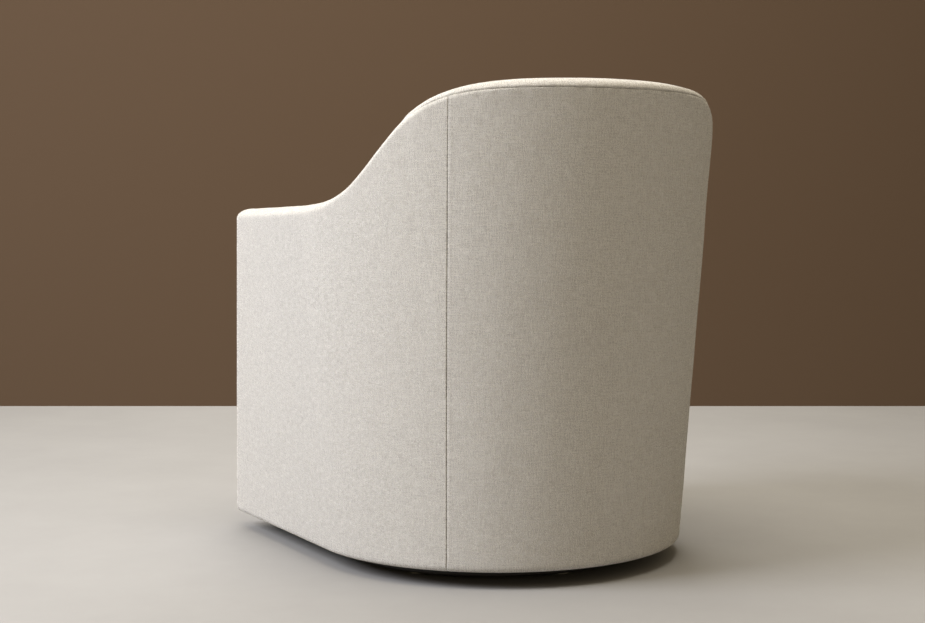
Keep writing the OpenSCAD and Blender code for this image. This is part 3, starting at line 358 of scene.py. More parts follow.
def weave_group():
    """Node group of a plain weave. The place on the cloth, made a little wavy, is cut into cells
    a yarn wide. Each cell holds the crown of one yarn: dome = sin(pi u)^a sin(pi v)^b, long one
    way in even cells and the other way in odd ones. Crowns differ at random, and yarns grow
    thick and thin along their length. Height is the domes. Tone, about 0, is their lightness:
    random per yarn and along it, and lighter with the dome's height, which is painted highlight
    on the crowns and painted shade between the yarns."""
    tree, given, end = new_group("plain_weave", {"Yarns": 800.0, "Slub": 1.0}, ("Tone", "Height"))
    wander = vectors(tree, "MULTIPLY", given["Place"], (70.0, 70.0, 1.0))
    wander = noise(tree, wander, 1.0, 1.0, "Color")
    wavy = vectors(tree, "MULTIPLY_ADD", wander, (0.0012, 0.0012, 0.0), given["Place"])
    yarns = vectors(tree, "SCALE", wavy, given["Yarns"])
    cell = vectors(tree, "FLOOR", yarns)
    inside = add(tree, "ShaderNodeSeparateXYZ", {0: vectors(tree, "FRACTION", yarns)})
    which = add(tree, "ShaderNodeSeparateXYZ", {0: cell})
    odd = maths(tree, "PINGPONG", maths(tree, "ADD", which["X"], which["Y"]), 1.0)
    up, across = (maths(tree, "SINE", maths(tree, "MULTIPLY", inside[axis], math.pi))
                  for axis in ("X", "Y"))
    up = maths(tree, "POWER", up, maths(tree, "MULTIPLY_ADD", odd, 0.75, 0.45))
    across = maths(tree, "POWER", across, maths(tree, "MULTIPLY_ADD", odd, -0.75, 1.2))
    dome = maths(tree, "MULTIPLY", up, across)
    chance = add(tree, "ShaderNodeTexWhiteNoise", {"Vector": cell})["Value"]
    warp = vectors(tree, "MULTIPLY_ADD", yarns, (0.0, 0.055, 0.0),
                   vectors(tree, "MULTIPLY", cell, (0.9, 0.0, 1.0)))
    warp = noise(tree, warp, 1.0, 1.0)
    weft = vectors(tree, "MULTIPLY_ADD", yarns, (0.055, 0.0, 0.0),
                   vectors(tree, "MULTIPLY_ADD", cell, (0.0, 0.9, 1.0), (50.0, 9.0, 0.0)))
    weft = noise(tree, weft, 1.0, 1.0)
    yarn = maths(tree, "ADD", maths(tree, "MULTIPLY", weft, maths(tree, "SUBTRACT", 1.0, odd)),
                 maths(tree, "MULTIPLY", warp, odd))
    yarn = maths(tree, "MULTIPLY", maths(tree, "SUBTRACT", yarn, 0.5), given["Slub"])
    mottle = vectors(tree, "MULTIPLY", given["Place"], (110.0, 90.0, 1.0))
    mottle = noise(tree, mottle, 1.0, 4.0)
    size = maths(tree, "MULTIPLY_ADD", chance, 1.2, 0.3)
    size = maths(tree, "MULTIPLY_ADD", yarn, 2.4, size)
    tone = maths(tree, "MULTIPLY_ADD", chance, 0.6, -0.55)
    tone = maths(tree, "MULTIPLY_ADD", yarn, 2.0, tone)
    # The crowns' height also lightens the tone: painted highlight on the yarn tops, painted shade
    # between the yarns.
    tone = maths(tree, "MULTIPLY_ADD", dome, 0.25, tone)
    feed(tree, end, {"Height": maths(tree, "MULTIPLY", dome, size),
                     "Tone": maths(tree, "MULTIPLY_ADD", mottle, 0.3, tone)})
    return tree


plain_weave = weave_group()


def spread(tree, value, low, high, to_low=0.0, to_high=1.0):
    """A value that goes from low to high, spread from 0 to 1 or between two other values."""
    ends = {"From Min": low, "From Max": high, "To Min": to_low, "To Max": to_high}
    return add(tree, "ShaderNodeMapRange", {"Value": value, **ends})["Result"]


def bump(tree, height, distance, strength=1.0, **settings):
    """Normal of a surface with a relief so many metres high."""
    inputs = {"Height": height, "Distance": distance, "Strength": strength}
    return add(tree, "ShaderNodeBump", inputs, **settings)["Normal"]


def shade(color, times):
    """A colour made darker or lighter."""
    return tuple(min(1, c * times) for c in color)


def cloth_material(name, color, contrast=0.27, relief=0.0009, yarns=800.0, slub=1.0):
    """Woven cloth: its colour lightens and darkens with the weave, partly at random and partly as
    painted highlight on the yarns' crowns and painted shade between them. The weave also stands
    up as a bump relief metres high. yarns is how many lie side by side in a metre."""
    material, tree, shader = new_material(name, color, 0.92, **{
        "Sheen Weight": 0.12, "Sheen Roughness": 0.6, "Specular IOR Level": 0.2})
    place = add(tree, "ShaderNodeUVMap", {}, uv_map="cloth")["UV"]
    cloth = add(tree, "ShaderNodeGroup", {"Place": place, "Yarns": yarns, "Slub": slub},
                node_tree=plain_weave)
    # The colour follows the weave's tone: random tone, with painted shade between the yarns and
    # painted highlight on their crowns.
    feed(tree, shader, {
        "Base Color": between(tree, spread(tree, cloth["Tone"], -0.2, 0.2),
                              shade(color, 1 - contrast), shade(color, 1 + contrast)),
        "Normal": bump(tree, cloth["Height"], relief)})
    return material


linen = cloth_material("cream_linen", (0.80, 0.77, 0.725))


def places_between(low, high, seam_low, seam_high):
    """Places round the shell from one edge of a cover to the other, half a gap short of a seam."""
    s = low + graded(high - low, cloth_step)
    s[0], s[-1] = s[0] + seam_gap / 2 * (seam_low > 0), s[-1] - seam_gap / 2 * (seam_high > 0)
    return s


def seam_ridge(distance, kind):
    """Low ridge that the seam's turned-in edges press up beside it, on the back panel only."""
    high, at, width = (0.00025 if kind == 2 else 0.0), 0.0046, 0.0013
    return high * np.exp(-((distance - at) / width) ** 2)


def pucker(place, distance, wave, drift, beat, reach):
    """Small gathers beside a seam: waves along it that drift and beat, fade within a reach of
    it, and start from nothing at the seam itself."""
    return (np.sin(place * 2 * math.pi / wave + drift[0] * np.sin(place * drift[1]))
            * np.sin(place * 2 * math.pi / beat[0] + beat[1])
            * np.exp(-distance / reach) * np.clip(distance / 0.002, 0, 1))


def soft_on_seat(piece):
    """A soft piece, attached so that it rides with the seat."""
    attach(piece, "seat")
    return piece


def linen_cover(name, grid, normal, offset, uv):
    """Padded linen: its face stands off a grid by an offset, and its back lies inside it."""
    front, back = grid + normal * offset[..., None], grid - normal * cloth_back
    return soft_on_seat(closed_sheet(name, front, back, uv, linen))


def outside_panel(name, low, high, roll_steps, seam_low, seam_high, seed):
    """Cover between two places round the shell: in under the hem, round it, up the wall and over
    the roll to the top seam. It falls into its seams, is slightly puckered below the top seam,
    and swells a little."""
    s = places_between(low, high, seam_low, seam_high)
    top = above(s)
    rows = [wall(s, hem_z, hem_return - d) for d in (0.0, 0.005, 0.010)]
    for a in np.radians(np.linspace(0, 90, 9)):
        rows.append(wall(s, hem_z + hem_roll * (1 - math.cos(a)), hem_roll * (1 - math.sin(a))))
    for u in np.linspace(0, 1, 110)[1:-1]:
        z = hem_z + hem_roll + u * (roll_z(top) - hem_z - hem_roll)
        rows.append(wall(along(s, z), z, 0.0))
    for u in 1 - (1 - np.linspace(0, 1, roll_steps)) ** 1.6:
        rows.append(on_roll(top, (seam_turn(top) - half_seam_turn) * u))
    grid = np.array(rows)
    up, round_it = run_length(grid, 0), run_length(grid, 1)
    to_top, to_low, to_high = up[-1] - up, round_it, round_it[:, -1:] - round_it
    normal = normals_of(grid)
    normal *= np.sign((normal[60, :, :2] * (grid[60, :, :2] - [0, arc_y])).sum())
    on_wall = np.clip((up - 0.03) / 0.05, 0, 1) * np.clip(to_top / 0.03, 0, 1)
    place = s[None, :] + 0 * up
    offset = (0.0009 * soft_swell(grid, 0.16, seed) * on_wall
              + 0.0003 * soft_swell(grid * [1, 1, 0.3], 0.045, seed + 50) * on_wall
              + 0.0006 * pucker(place, to_top, 0.019, (2.1, 31), (0.047, seed), 0.011)
              - tuck(to_top, 0.0014, 0.0014)
              - tuck(to_low, 0.0014, 0.0016) - tuck(to_high, 0.0014, 0.0016)
              + seam_ridge(to_low, seam_low) + seam_ridge(to_high, seam_high))
    return linen_cover(name, grid, normal, offset, np.stack([place, up], -1))


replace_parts(outside_panel("outside_back_cloth", -seam_s, seam_s, 14, 2, 2, 3), "outside_back_panel")
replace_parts(outside_panel("outside_arm_cloth_left", seam_s, quarter + cover_end, 44, 1, 0, 5),
            "outside_arm_panel_left")
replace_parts(outside_panel("outside_arm_cloth_right", -quarter - cover_end, -seam_s, 44, 0, 1, 8),
            "outside_arm_panel_right")

# Inside covers: the same linen over the foam of the back and arms. They start at the top seam,
# go over the rest of the roll and down behind the cushion. Two upright seams join them.
back_extra, back_reach, cushion_z, boxing_h, pad_foot = 0.066, 0.560, 0.3226, 0.120, 0.2863
lumbar_z = cushion_z + boxing_h
inside_seam_s = seam_s + (quarter - seam_s) * 5 / 12


def inside_depth(s, z):
    """Depth of the inside face: the wall's thickness, more at the middle of the back, where the
    padding leans back above the cushion."""
    fade = np.where(np.abs(s) < back_reach, (1 + np.cos(math.pi * s / back_reach)) / 2, 0)
    rise = np.clip((z - lumbar_z) / (roll_z(s) - lumbar_z), 0, 1)
    return wall_t + back_extra * fade * (1 - rise ** 1.3)


def inside_cover(name, low, high, seam_low, seam_high, seed):
    """Cover between two places round the shell, from the top seam over the roll and down the
    inside face. The roll stands a little proud of the panel under its seam."""
    s = places_between(low, high, seam_low, seam_high)
    top = above(s)
    start = seam_turn(top) + half_seam_turn
    rows = [on_roll(top, start + (180 - start) * u) for u in np.linspace(0, 1, 46) ** 1.5]
    for u in np.linspace(0, 1, 62)[1:]:
        z = roll_z(top) + u * (pad_foot - roll_z(top))
        p = along(s, z)
        rows.append(wall(p, z, inside_depth(p, z)))
    grid = np.array(rows)
    down, round_it = run_length(grid, 0), run_length(grid, 1)
    to_low, to_high = round_it, round_it[:, -1:] - round_it
    normal = normals_of(grid)
    normal *= -np.sign((normal[90, :, :2] * (grid[90, :, :2] - [0, arc_y])).sum())
    place = s[None, :] + 0 * down
    free = np.clip(down / 0.05, 0, 1) * np.clip((down[-1] - down) / 0.2, 0, 1)
    proud = 0.0018 * np.exp(-((down - 0.008) / 0.008) ** 2)
    offset = (0.0010 * soft_swell(grid, 0.17, seed) * free + proud
              + 0.0007 * pucker(place, down, 0.021, (1.7, 27), (0.057, seed), 0.010)
              - tuck(down, 0.0026, 0.0030)
              - tuck(to_low, 0.0030, 0.0026) - tuck(to_high, 0.0030, 0.0026))
    return linen_cover(name, grid, normal, offset, np.stack([place, -down], -1))


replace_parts(inside_cover("inside_back_cloth", -inside_seam_s, inside_seam_s, 1, 1, 13),
            "inside_back_cover")
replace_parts(inside_cover("inside_arm_cloth_left", inside_seam_s, quarter + cover_end, 1, 0, 17),
            "inside_arm_cover_left")
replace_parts(inside_cover("inside_arm_cloth_right", -quarter - cover_end, -inside_seam_s, 0, 1, 19),
            "inside_arm_cover_right")

# Arm facings: a board in the shape of the wall's end, padded and covered in the linen, and
# pressed on over the raw edges of the arm's inside and outside covers.
facing_x = base_r - roll_r
facing_top = float(roll_z(np.array([quarter + cover_end]))[0])


def facing_ring(share):
    """Outline of the wall's end, drawn in by a share of its half width: bottom corners as
    quarter circles, upright sides and a half ellipse over the top."""
    r = roll_r * (1 - share)
    foot = min(hem_roll * (1 - share / 2), r * 0.98)
    low = hem_z + roll_r * share
    corner = np.radians(np.linspace(-90, 0, 8))
    top = np.radians(np.linspace(0, 180, 27))
    side = np.linspace(low + foot, facing_top, 70)[1:-1]
    right = np.stack([r - foot + foot * np.cos(corner), low + foot + foot * np.sin(corner)], -1)
    up = np.stack([np.full(68, r), side], -1)
    over = np.stack([r * np.cos(top), facing_top + roll_h * (1 - share) * np.sin(top)], -1)
    ring = np.concatenate([right, up, over, up[::-1] * [-1, 1], right[::-1] * [-1, 1]])
    return ring + [facing_x, 0]


def stacked(name, rings, uv, material):
    """Closed solid of stacked rings of points, each end closed to its middle."""
    rows, cols = rings.shape[:2]
    points = np.concatenate([rings.reshape(-1, 3), rings[0].mean(0)[None], rings[-1].mean(0)[None]])
    places = np.concatenate([uv.reshape(-1, 2), uv[0].mean(0)[None], uv[-1].mean(0)[None]])
    at, to = np.arange(cols), np.roll(np.arange(cols), -1)
    low = np.stack([to, at, np.full(cols, rows * cols)], -1)
    high = np.stack([at, to, np.full(cols, rows * cols + 1)], -1) + [[(rows - 1) * cols] * 2 + [0]]
    return new_piece(name, points, grid_faces(rows, cols, False, True), places, material,
                     np.concatenate([low, high]))


def arm_facing(name, side, seed):
    """Facing of one arm: drawn in at its back edge as at a seam, rounded at its front edge and
    crowned towards its middle."""
    crown = 0.97 * np.linspace(0, 1, 26)[1:] ** 1.5
    shares = np.concatenate([[0.06, 0.025, 0, 0], crown])
    rises = np.concatenate([[0, 0.06, 0.2, 0.42], 0.42 + 0.58 * np.sqrt(
        1 - (1 - np.minimum(crown / 0.75, 1)) ** 2)])
    outline = np.array([facing_ring(share) for share in shares])
    y = arc_y - side_len + facing_t - rises * (facing_t + facing_crown)
    rings = np.stack([outline[..., 0] * side, np.broadcast_to(y[:, None], outline.shape[:2]),
                      outline[..., 1]], -1)
    rings[..., 1] += 0.0003 * soft_swell(rings, 0.09, seed) * (rises[:, None] > 0.6)
    return soft_on_seat(stacked(name, rings, outline, linen))


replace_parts(arm_facing("arm_facing_cloth_left", 1, 23), "arm_facing_left")
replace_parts(arm_facing("arm_facing_cloth_right", -1, 29), "arm_facing_right")

# Front border: linen over the front board and the edge roll, turned in under the bottom ring
# below and sewn to the deck cloth behind the roll.
border_y = arc_y - cover_end
border_round, rail_in, edge_roll_w, seat_gap = 0.012, 0.0092, 0.018, 0.0003
deck_top = cushion_z - seat_gap
rear_y = border_y + rail_in + edge_roll_w
deck_y = rear_y + seat_gap


def arc(u, v, radius, start, end, count):
    """Points of an arc round a centre at u, v, from one angle in degrees to another."""
    a = np.radians(np.linspace(start, end, count))
    return np.stack([u + radius * np.cos(a), v + radius * np.sin(a)], -1)


line = np.concatenate([
    np.stack([np.linspace(border_y + hem_return, border_y + hem_roll, 5)[:-1],
              np.full(4, hem_z)], -1),
    arc(border_y + hem_roll, hem_z + hem_roll, hem_roll, 270, 180, 9),
    np.stack([np.full(58, border_y), np.linspace(hem_z + hem_roll, deck_top - border_round,
                                                 60)[1:-1]], -1),
    arc(border_y + border_round, deck_top - border_round, border_round, 180, 90, 12),
    np.stack([np.linspace(border_y + border_round, rear_y, 5)[1:], np.full(4, deck_top)], -1)])
border_half = base_r - wall_t - layer_gap
across = graded(2 * border_half, cloth_step) - border_half
grid = np.stack(np.broadcast_arrays(across[None, :], line[:, :1], line[:, 1:]), -1)
face = normals_of(grid)
face *= np.sign(-face[40, 40, 1])
to_side = border_half - np.abs(across)[None, :] + 0 * grid[..., 0]
low_edge = run_length(grid, 0)
offset = (0.0008 * soft_swell(grid, 0.15, 31) * np.clip((low_edge - 0.03) / 0.05, 0, 1)
          - tuck(to_side, 0.0030, 0.0022))
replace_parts(linen_cover("front_border_cloth", grid, face, offset,
                        np.stack([grid[..., 0], low_edge], -1)), "front_border")

# Deck under the cushion: a felt pad laid over the springs, and a plain cotton deck cloth drawn
# over it and stapled to the seat ring.
deck_z, spring_rear_in, spring_rise, spring_wire = 0.320, 0.212, 0.022, 0.0038
clip_tab, clip_r = 0.016, 0.0036


def even(line, count):
    """A line of points spread evenly along its own length."""
    at = run_length(line, 0)
    to = np.linspace(0, at[-1], count)
    return np.stack([np.interp(to, at, line[:, i]) for i in (0, 1)], -1)


def inner_sides(z, gap, front, count, corner=0.0, draw=0.0):
    """Four sides of the area inside the inside covers at a height, each as points: front line,
    right side going back, left side going back, and the round back from right to left. Front
    corners may be rounded and the front line drawn in at its middle."""
    split = quarter - 0.06
    s = np.linspace(quarter + arc_y - front - corner, split, count)
    side_line = wall(s, z, inside_depth(s, np.full(count, z)) + gap)[:, :2]
    s = np.linspace(split, -split, count)
    back = wall(s, z, inside_depth(s, np.full(count, z)) + gap)[:, :2]
    if corner:
        flat = side_line[0, 0] - corner
        bend = arc(flat, front + corner, corner, -45, 0, 9)
        side_line = even(np.concatenate([bend, side_line[1:]]), count)
        bend = arc(flat, front + corner, corner, -45, -90, 9)
        x = np.linspace(flat, -flat, 40)
        middle = np.stack([x, front + draw * (1 - (x / flat) ** 2)], -1)
        front_line = even(np.concatenate([bend, middle[1:-1], bend[::-1] * [-1, 1]]), count)
    else:
        x = side_line[0, 0] * np.linspace(1, -1, count)
        front_line = np.stack([x, np.full(count, front)], -1)
    return front_line, side_line, side_line * [-1, 1], back


def patch(sides):
    """Grid of points spanned between four sides: each pair of facing sides is blended, less
    what the corners count twice."""
    front, right, left, back = sides
    n = len(front)
    u = np.linspace(0, 1, n)[None, :, None]
    v = np.linspace(0, 1, n)[:, None, None]
    corners = ((1 - u) * (1 - v) * front[0] + u * (1 - v) * front[-1]
               + (1 - u) * v * back[0] + u * v * back[-1])
    return ((1 - v) * front[None] + v * back[None] + (1 - u) * right[:, None]
            + u * left[:, None] - corners)


def fibre_group():
    """Node group of pressed fibres: Mottle is a slow uneven tone, from noise, and Fuzz the short
    ends that stand up, from the distance to scattered points."""
    tree, given, end = new_group("pressed_fibres", {}, ("Mottle", "Fuzz"))
    cells = add(tree, "ShaderNodeTexVoronoi", {"Vector": given["Place"], "Scale": 900.0})
    feed(tree, end, {"Mottle": noise(tree, given["Place"], 60.0, 8, Roughness=0.75),
                     "Fuzz": cells["Distance"]})
    return tree


pressed_fibres = fibre_group()


def felt_material(name, color, relief=0.8):
    """Pressed fibres with a mottled tone and a fuzzy relief."""
    material, tree, shader = new_material(name, color, 0.95, **{"Specular IOR Level": 0.15})
    felt = add(tree, "ShaderNodeGroup", {"Place": object_place(tree)}, node_tree=pressed_fibres)
    feed(tree, shader, {
        "Base Color": between(tree, felt["Mottle"], shade(color, 0.72), shade(color, 1.28)),
        "Normal": bump(tree, felt["Fuzz"], 0.0004, relief)})
    return material


spring_front, spring_back = rear_y + clip_tab, arc_y + base_r - spring_rear_in
spring_z = pad_foot - seat_gap + clip_r
plan = patch(inner_sides(pad_foot, layer_gap, deck_y, 61))
x, y = plan[..., 0], plan[..., 1]
u = np.clip((y - spring_front) / (spring_back - spring_front), 0, 1)
under = np.maximum(spring_z + clip_r + 0.0001, spring_z + spring_rise * (1 - (2 * u - 1) ** 2)
                   + spring_wire / 2 + layer_gap)
under = np.where(y > spring_back + clip_tab + 0.0005, pad_foot + 0.0001, under)
piece = closed_sheet(
    "deck_felt", np.stack([x, y, np.full_like(x, deck_z)], -1), np.stack([x, y, under], -1),
    plan, felt_material("deck_felt", (0.42, 0.41, 0.40)))
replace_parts(soft_on_seat(piece), "deck_pad")

deck_cotton = cloth_material("deck_cotton", (0.70, 0.655, 0.58), 0.08, 0.0003, 1300, 0.6)
sag = -0.0002 * (1 + soft_swell(np.stack([x, y, 0 * x], -1), 0.12, 37))
piece = closed_sheet(
    "deck_cotton", np.stack([x, y, deck_top + sag], -1),
    np.stack([x, y, np.full_like(x, deck_z + 0.0004)], -1), plan, deck_cotton)
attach(piece, "seat")
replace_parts(piece, "deck_cloth")

# Loose seat cushion: a boxed linen cover over a foam core, crowned by its filling, with sewn
# seams round the top and bottom of the boxing. Its cover is blown out by a cloth simulation.
cushion_y = arc_y - side_len + 0.004
cushion_gap, cushion_wall, cushion_half, cushion_w = 0.002, 0.003, 0.24, 0.47
filling_steps, top_swell, side_swell = 20, 0.007, 0.0035
cushion_mid = np.array([0, (cushion_y + arc_y + base_r - wall_t - back_extra) / 2])


def cushion_grid(inset, count, crown, foot):
    """Boxed form as a top grid, a bottom grid and a band of rows between them, drawn in by an
    inset. The top is crowned: high at the middle and level at the seams. Gives points, faces,
    places on the cloth, and each point's distance from the nearer seam, whose rows lie close."""
    sides = inner_sides(cushion_z, cushion_gap, cushion_y, count, 0.026, 0.006)
    flat = patch([cushion_mid + (s - cushion_mid) * (1 - inset / cushion_half) for s in sides])
    near = np.array([0, 0.0025, 0.006]) / (boxing_h - 2 * foot)
    v = np.concatenate([near, np.linspace(0.09, 0.91, 12), 1 - near[::-1]])
    near = np.array([0, 0.0025, 0.006]) / cushion_w
    u = np.concatenate([near, np.linspace(0, 1, count)[1:-1], 1 - near[::-1]])
    step = u * (count - 1)
    low_at = np.minimum(step.astype(int), count - 2)
    part = (step - low_at)[:, None, None]
    flat = flat[low_at] * (1 - part) + flat[low_at + 1] * part
    part = part.reshape(1, -1, 1)
    flat = flat[:, low_at] * (1 - part) + flat[:, low_at + 1] * part
    n = len(u)
    edge = np.minimum(np.minimum(u, 1 - u)[:, None], np.minimum(u, 1 - u)[None, :])
    dome = np.clip(edge / 0.5, 0, 1)
    dome = 1 - (1 - dome) ** 2.4
    low, high = cushion_z + foot, lumbar_z - foot
    top = np.concatenate([flat, (high + crown * dome)[..., None]], -1)
    base = np.concatenate([flat, np.full((n, n, 1), low)], -1)
    at_n = np.arange(n)
    ring = np.concatenate([at_n[:-1], at_n[:-1] * n + n - 1, n * n - 1 - at_n[:-1],
                           (n - 1 - at_n[:-1]) * n])
    rim = flat.reshape(-1, 2)[ring]
    out = rim - cushion_mid
    out /= np.linalg.norm(out, axis=-1, keepdims=True)
    pull = -0.0025 * np.sin(math.pi * v[1:-1])[:, None, None]
    band = np.concatenate([rim[None] + out[None] * pull,
                           np.broadcast_to((high + (low - high) * v[1:-1])[:, None, None],
                                           (len(v) - 2, len(ring), 1))], -1)
    points = np.concatenate([top.reshape(-1, 3), base.reshape(-1, 3), band.reshape(-1, 3)])
    quads = grid_faces(n, n)
    strip = np.concatenate([ring[None], 2 * n * n + np.arange((len(v) - 2) * len(ring)).reshape(
        len(v) - 2, -1), ring[None] + n * n])
    strip = np.concatenate([strip, strip[:, :1]], 1)
    walls = np.stack([strip[:-1, :-1], strip[:-1, 1:], strip[1:, 1:], strip[1:, :-1]], -1)
    faces = np.concatenate([quads[:, ::-1], quads + n * n, walls.reshape(-1, 4)])
    band_uv = np.stack(np.broadcast_arrays(run_length(rim, 0)[None, :], band[..., 2]), -1)
    uv = np.concatenate([flat.reshape(-1, 2), flat.reshape(-1, 2) + [0.9, 0],
                         band_uv.reshape(-1, 2)])
    to_seam = np.concatenate([(edge * cushion_w).reshape(-1)] * 2 + [np.repeat(
        np.minimum(v, 1 - v)[1:-1] * (high - low), len(ring))])
    return points, faces, uv, to_seam


def read(items, name, size, kind=np.float32):
    """One property of all of a mesh's items, as rows of a size."""
    flat = np.zeros(len(items) * size, kind)
    items.foreach_get(name, flat)
    return flat.reshape(-1, size)


def applied(piece, name):
    """The piece's mesh with its modifiers applied, in place of the old one."""
    seen = piece.evaluated_get(bpy.context.evaluated_depsgraph_get())
    mesh = bpy.data.meshes.new_from_object(seen)
    mesh.name = name
    piece.modifiers.clear()
    old, piece.data = piece.data, mesh
    bpy.data.meshes.remove(old)
    return mesh


points, faces, uv, to_seam = cushion_grid(0.003, 56, 0.012, 0.0015)
cushion = new_piece("cushion_linen", points, faces, uv, linen)
seam_layer = cushion.data.attributes.new("to_seam", "FLOAT", "POINT")
seam_layer.data.foreach_set("value", to_seam.astype(np.float32))
start = read(cushion.data.vertices, "co", 3).astype(float)
filling = cushion.modifiers.new("filling", "CLOTH")
filling.settings.quality = 5
filling.settings.mass = 0.3
filling.settings.tension_stiffness = 20
filling.settings.compression_stiffness = 20
filling.settings.bending_stiffness = 4
filling.settings.use_pressure = True
filling.settings.uniform_pressure_force = 4
filling.settings.effector_weights.gravity = 0
filling.collision_settings.use_collision = False
filling.point_cache.frame_start = 1
filling.point_cache.frame_end = filling_steps
for frame_number in range(1, filling_steps + 1):
    bpy.context.scene.frame_set(frame_number)
mesh = applied(cushion, "cushion_linen")
moved = read(mesh.vertices, "co", 3).astype(float) - start
far = np.linalg.norm(moved, axis=1, keepdims=True)
cap = np.where(start[:, 2:] > lumbar_z - 0.01, top_swell, side_swell)
settled = start + moved * np.minimum(1, cap / np.maximum(far, 1e-9))
mesh.vertices.foreach_set("co", settled.astype(np.float32).reshape(-1))
bpy.context.scene.frame_set(1)
finer = cushion.modifiers.new("finer", "SUBSURF")
finer.levels = finer.render_levels = 1
mesh = applied(cushion, "cushion_linen")
mesh.update()
shape = read(mesh.vertices, "co", 3).astype(float)
face = read(mesh.vertices, "normal", 3).astype(float)
to_seam = read(mesh.attributes["to_seam"].data, "value", 1)[:, 0]
wrinkle = soft_swell(shape * [1, 1, 0.6], 0.035, 41) * np.exp(-to_seam / 0.016)
core_shape = shape - face * (cushion_wall + 0.0014 + tuck(to_seam, 0.012, 0.0050))[:, None]
core_shape[:, 2] = np.maximum(core_shape[:, 2], cushion_z + 0.0036)
shape += face * (0.0009 * soft_swell(shape, 0.13, 43) + 0.0007 * wrinkle
                 - tuck(to_seam, 0.0050, 0.0030))[:, None]
shape[:, 2] = np.maximum(shape[:, 2], cushion_z + seat_gap)
inner = shape - face * (cushion_wall - 0.0004)
inner[:, 2] = np.maximum(inner[:, 2], cushion_z + 0.0028)
quads = read(mesh.loops, "vertex_index", 1, np.int32).reshape(-1, 4)
corner_uv = read(mesh.uv_layers["cloth"].data, "uv", 2).reshape(-1, 4, 2)
both_sides = np.concatenate([quads, quads[:, ::-1] + len(shape)]).tolist()
cushion.data = smooth_mesh("cushion_cover_linen", np.concatenate([shape, inner]), both_sides,
                           np.concatenate([corner_uv, corner_uv[:, ::-1]]), linen)
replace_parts(soft_on_seat(cushion), "cushion_cover")

# The cushion's core: one block of soft cut foam that fills the cover. Its edges are softened
# where the cover's seams draw in.


def foam_material(name, color):
    """Open-cell foam: small round cells that dent it and are darkened in their dents by painted
    shade, and a slow yellowing.
    """
    material, tree, shader = new_material(name, color, 0.9, **{"Specular IOR Level": 0.2})
    place = object_place(tree)
    cells = add(tree, "ShaderNodeTexVoronoi", {"Vector": place, "Scale": 650.0})["Distance"]
    aged = (color[0], color[1] * 0.93, color[2] * 0.75)
    tone = between(tree, noise(tree, place, 12.0, 4), color, aged)
    # The cells' dents, which the bump sinks, are also darkened in the colour: painted shade.
    feed(tree, shader, {
        "Base Color": between(tree, spread(tree, cells, 0.35, 0.75), tone, shade(color, 0.55)),
        "Normal": bump(tree, cells, 0.0006, 0.6, invert=True)})
    return material


foam = foam_material("cut_foam", (0.80, 0.73, 0.52))
core = linked("cushion_foam", smooth_mesh("cushion_foam", core_shape, quads.tolist(), corner_uv,
                                          foam))
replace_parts(soft_on_seat(core), "cushion_core")

# Zip in the rear of the boxing: a woven tape, a coil of nylon teeth down its middle and a small
# pressed slider with its pull.
zip_half, zip_w, zip_off, slider_at = 0.160, 0.016, 0.0006, -0.148
coil_r, coil_pitch, wire_r = 0.0016, 0.002, 0.00035
rear_turn, rear_count = 1.15, 241
zip_z = (cushion_z + lumbar_z) / 2
near = shape[(np.abs(shape[:, 2] - zip_z) < 0.0045) & (shape[:, 1] > cushion_mid[1])] - [
    *cushion_mid, 0]
near = near[np.argsort(np.arctan2(near[:, 0], near[:, 1]))]
turn = np.linspace(-rear_turn, rear_turn, rear_count)
reach = np.interp(turn, np.arctan2(near[:, 0], near[:, 1]), np.hypot(near[:, 0], near[:, 1]))
reach = np.convolve(np.pad(reach, 4, "edge"), np.full(9, 1 / 9), "valid")
rear = cushion_mid + reach[:, None] * np.stack([np.sin(turn), np.cos(turn)], -1)
rear = even(rear, rear_count)
out = np.stack([-np.gradient(rear[:, 1]), np.gradient(rear[:, 0])], -1)
out /= np.linalg.norm(out, axis=1, keepdims=True)
out *= np.sign(out[rear_count // 2, 1])
run = run_length(rear, 0)
run -= run[rear_count // 2]


def on_zip(along_zip, up, proud):
    """Point on the zip: distance along it, height from its middle, and how far it stands out
    from the boxing's mean face."""
    along_zip, up, proud = np.broadcast_arrays(*(np.asarray(v, float) for v in (
        along_zip, up, proud)))
    at = [np.interp(along_zip, run, rear[:, i]) + np.interp(along_zip, run, out[:, i])
          * (proud + zip_off) for i in (0, 1)]
    return np.stack([*at, zip_z + up], -1)


a, h = np.meshgrid(np.linspace(-zip_half, zip_half, 161), np.linspace(-zip_w, zip_w, 17) / 2,
                   indexing="ij")
fold = 0.0006 * np.exp(-(h / 0.0025) ** 2)
tape = closed_sheet("zip_tape", on_zip(a, h, 0.0006 + fold), on_zip(a, h, -0.0014),
                    np.stack([a, h], -1),
                    cloth_material("zip_tape", (0.72, 0.68, 0.62), 0.08, 0.0002, 1800, 0.4))
turns = np.linspace(-zip_half + 0.004, zip_half - 0.004, 1900)
wind = turns * 2 * math.pi / coil_pitch
middle = np.stack([turns, coil_r * np.cos(wind), coil_r * 0.5 * np.sin(wind)], -1)
round_wire = np.radians(np.arange(6) * 60)
coil = on_zip(middle[:, None, 0],
              middle[:, None, 1] + wire_r * np.cos(round_wire)[None] * np.cos(wind)[:, None],
              0.0014 + middle[:, None, 2] + wire_r * np.sin(round_wire)[None])
nylon_teeth = new_material("nylon_teeth", (0.76, 0.73, 0.66), 0.4)[0]
teeth = stacked("zip_teeth", coil, np.zeros((*coil.shape[:2], 2)), nylon_teeth)
turn = np.radians(np.arange(24) * 15)
shares = np.array([0.0, 0.35, 0.7, 0.9, 1.0, 1.0, 0.92, 0.75, 0.4, 0.05])[:, None]
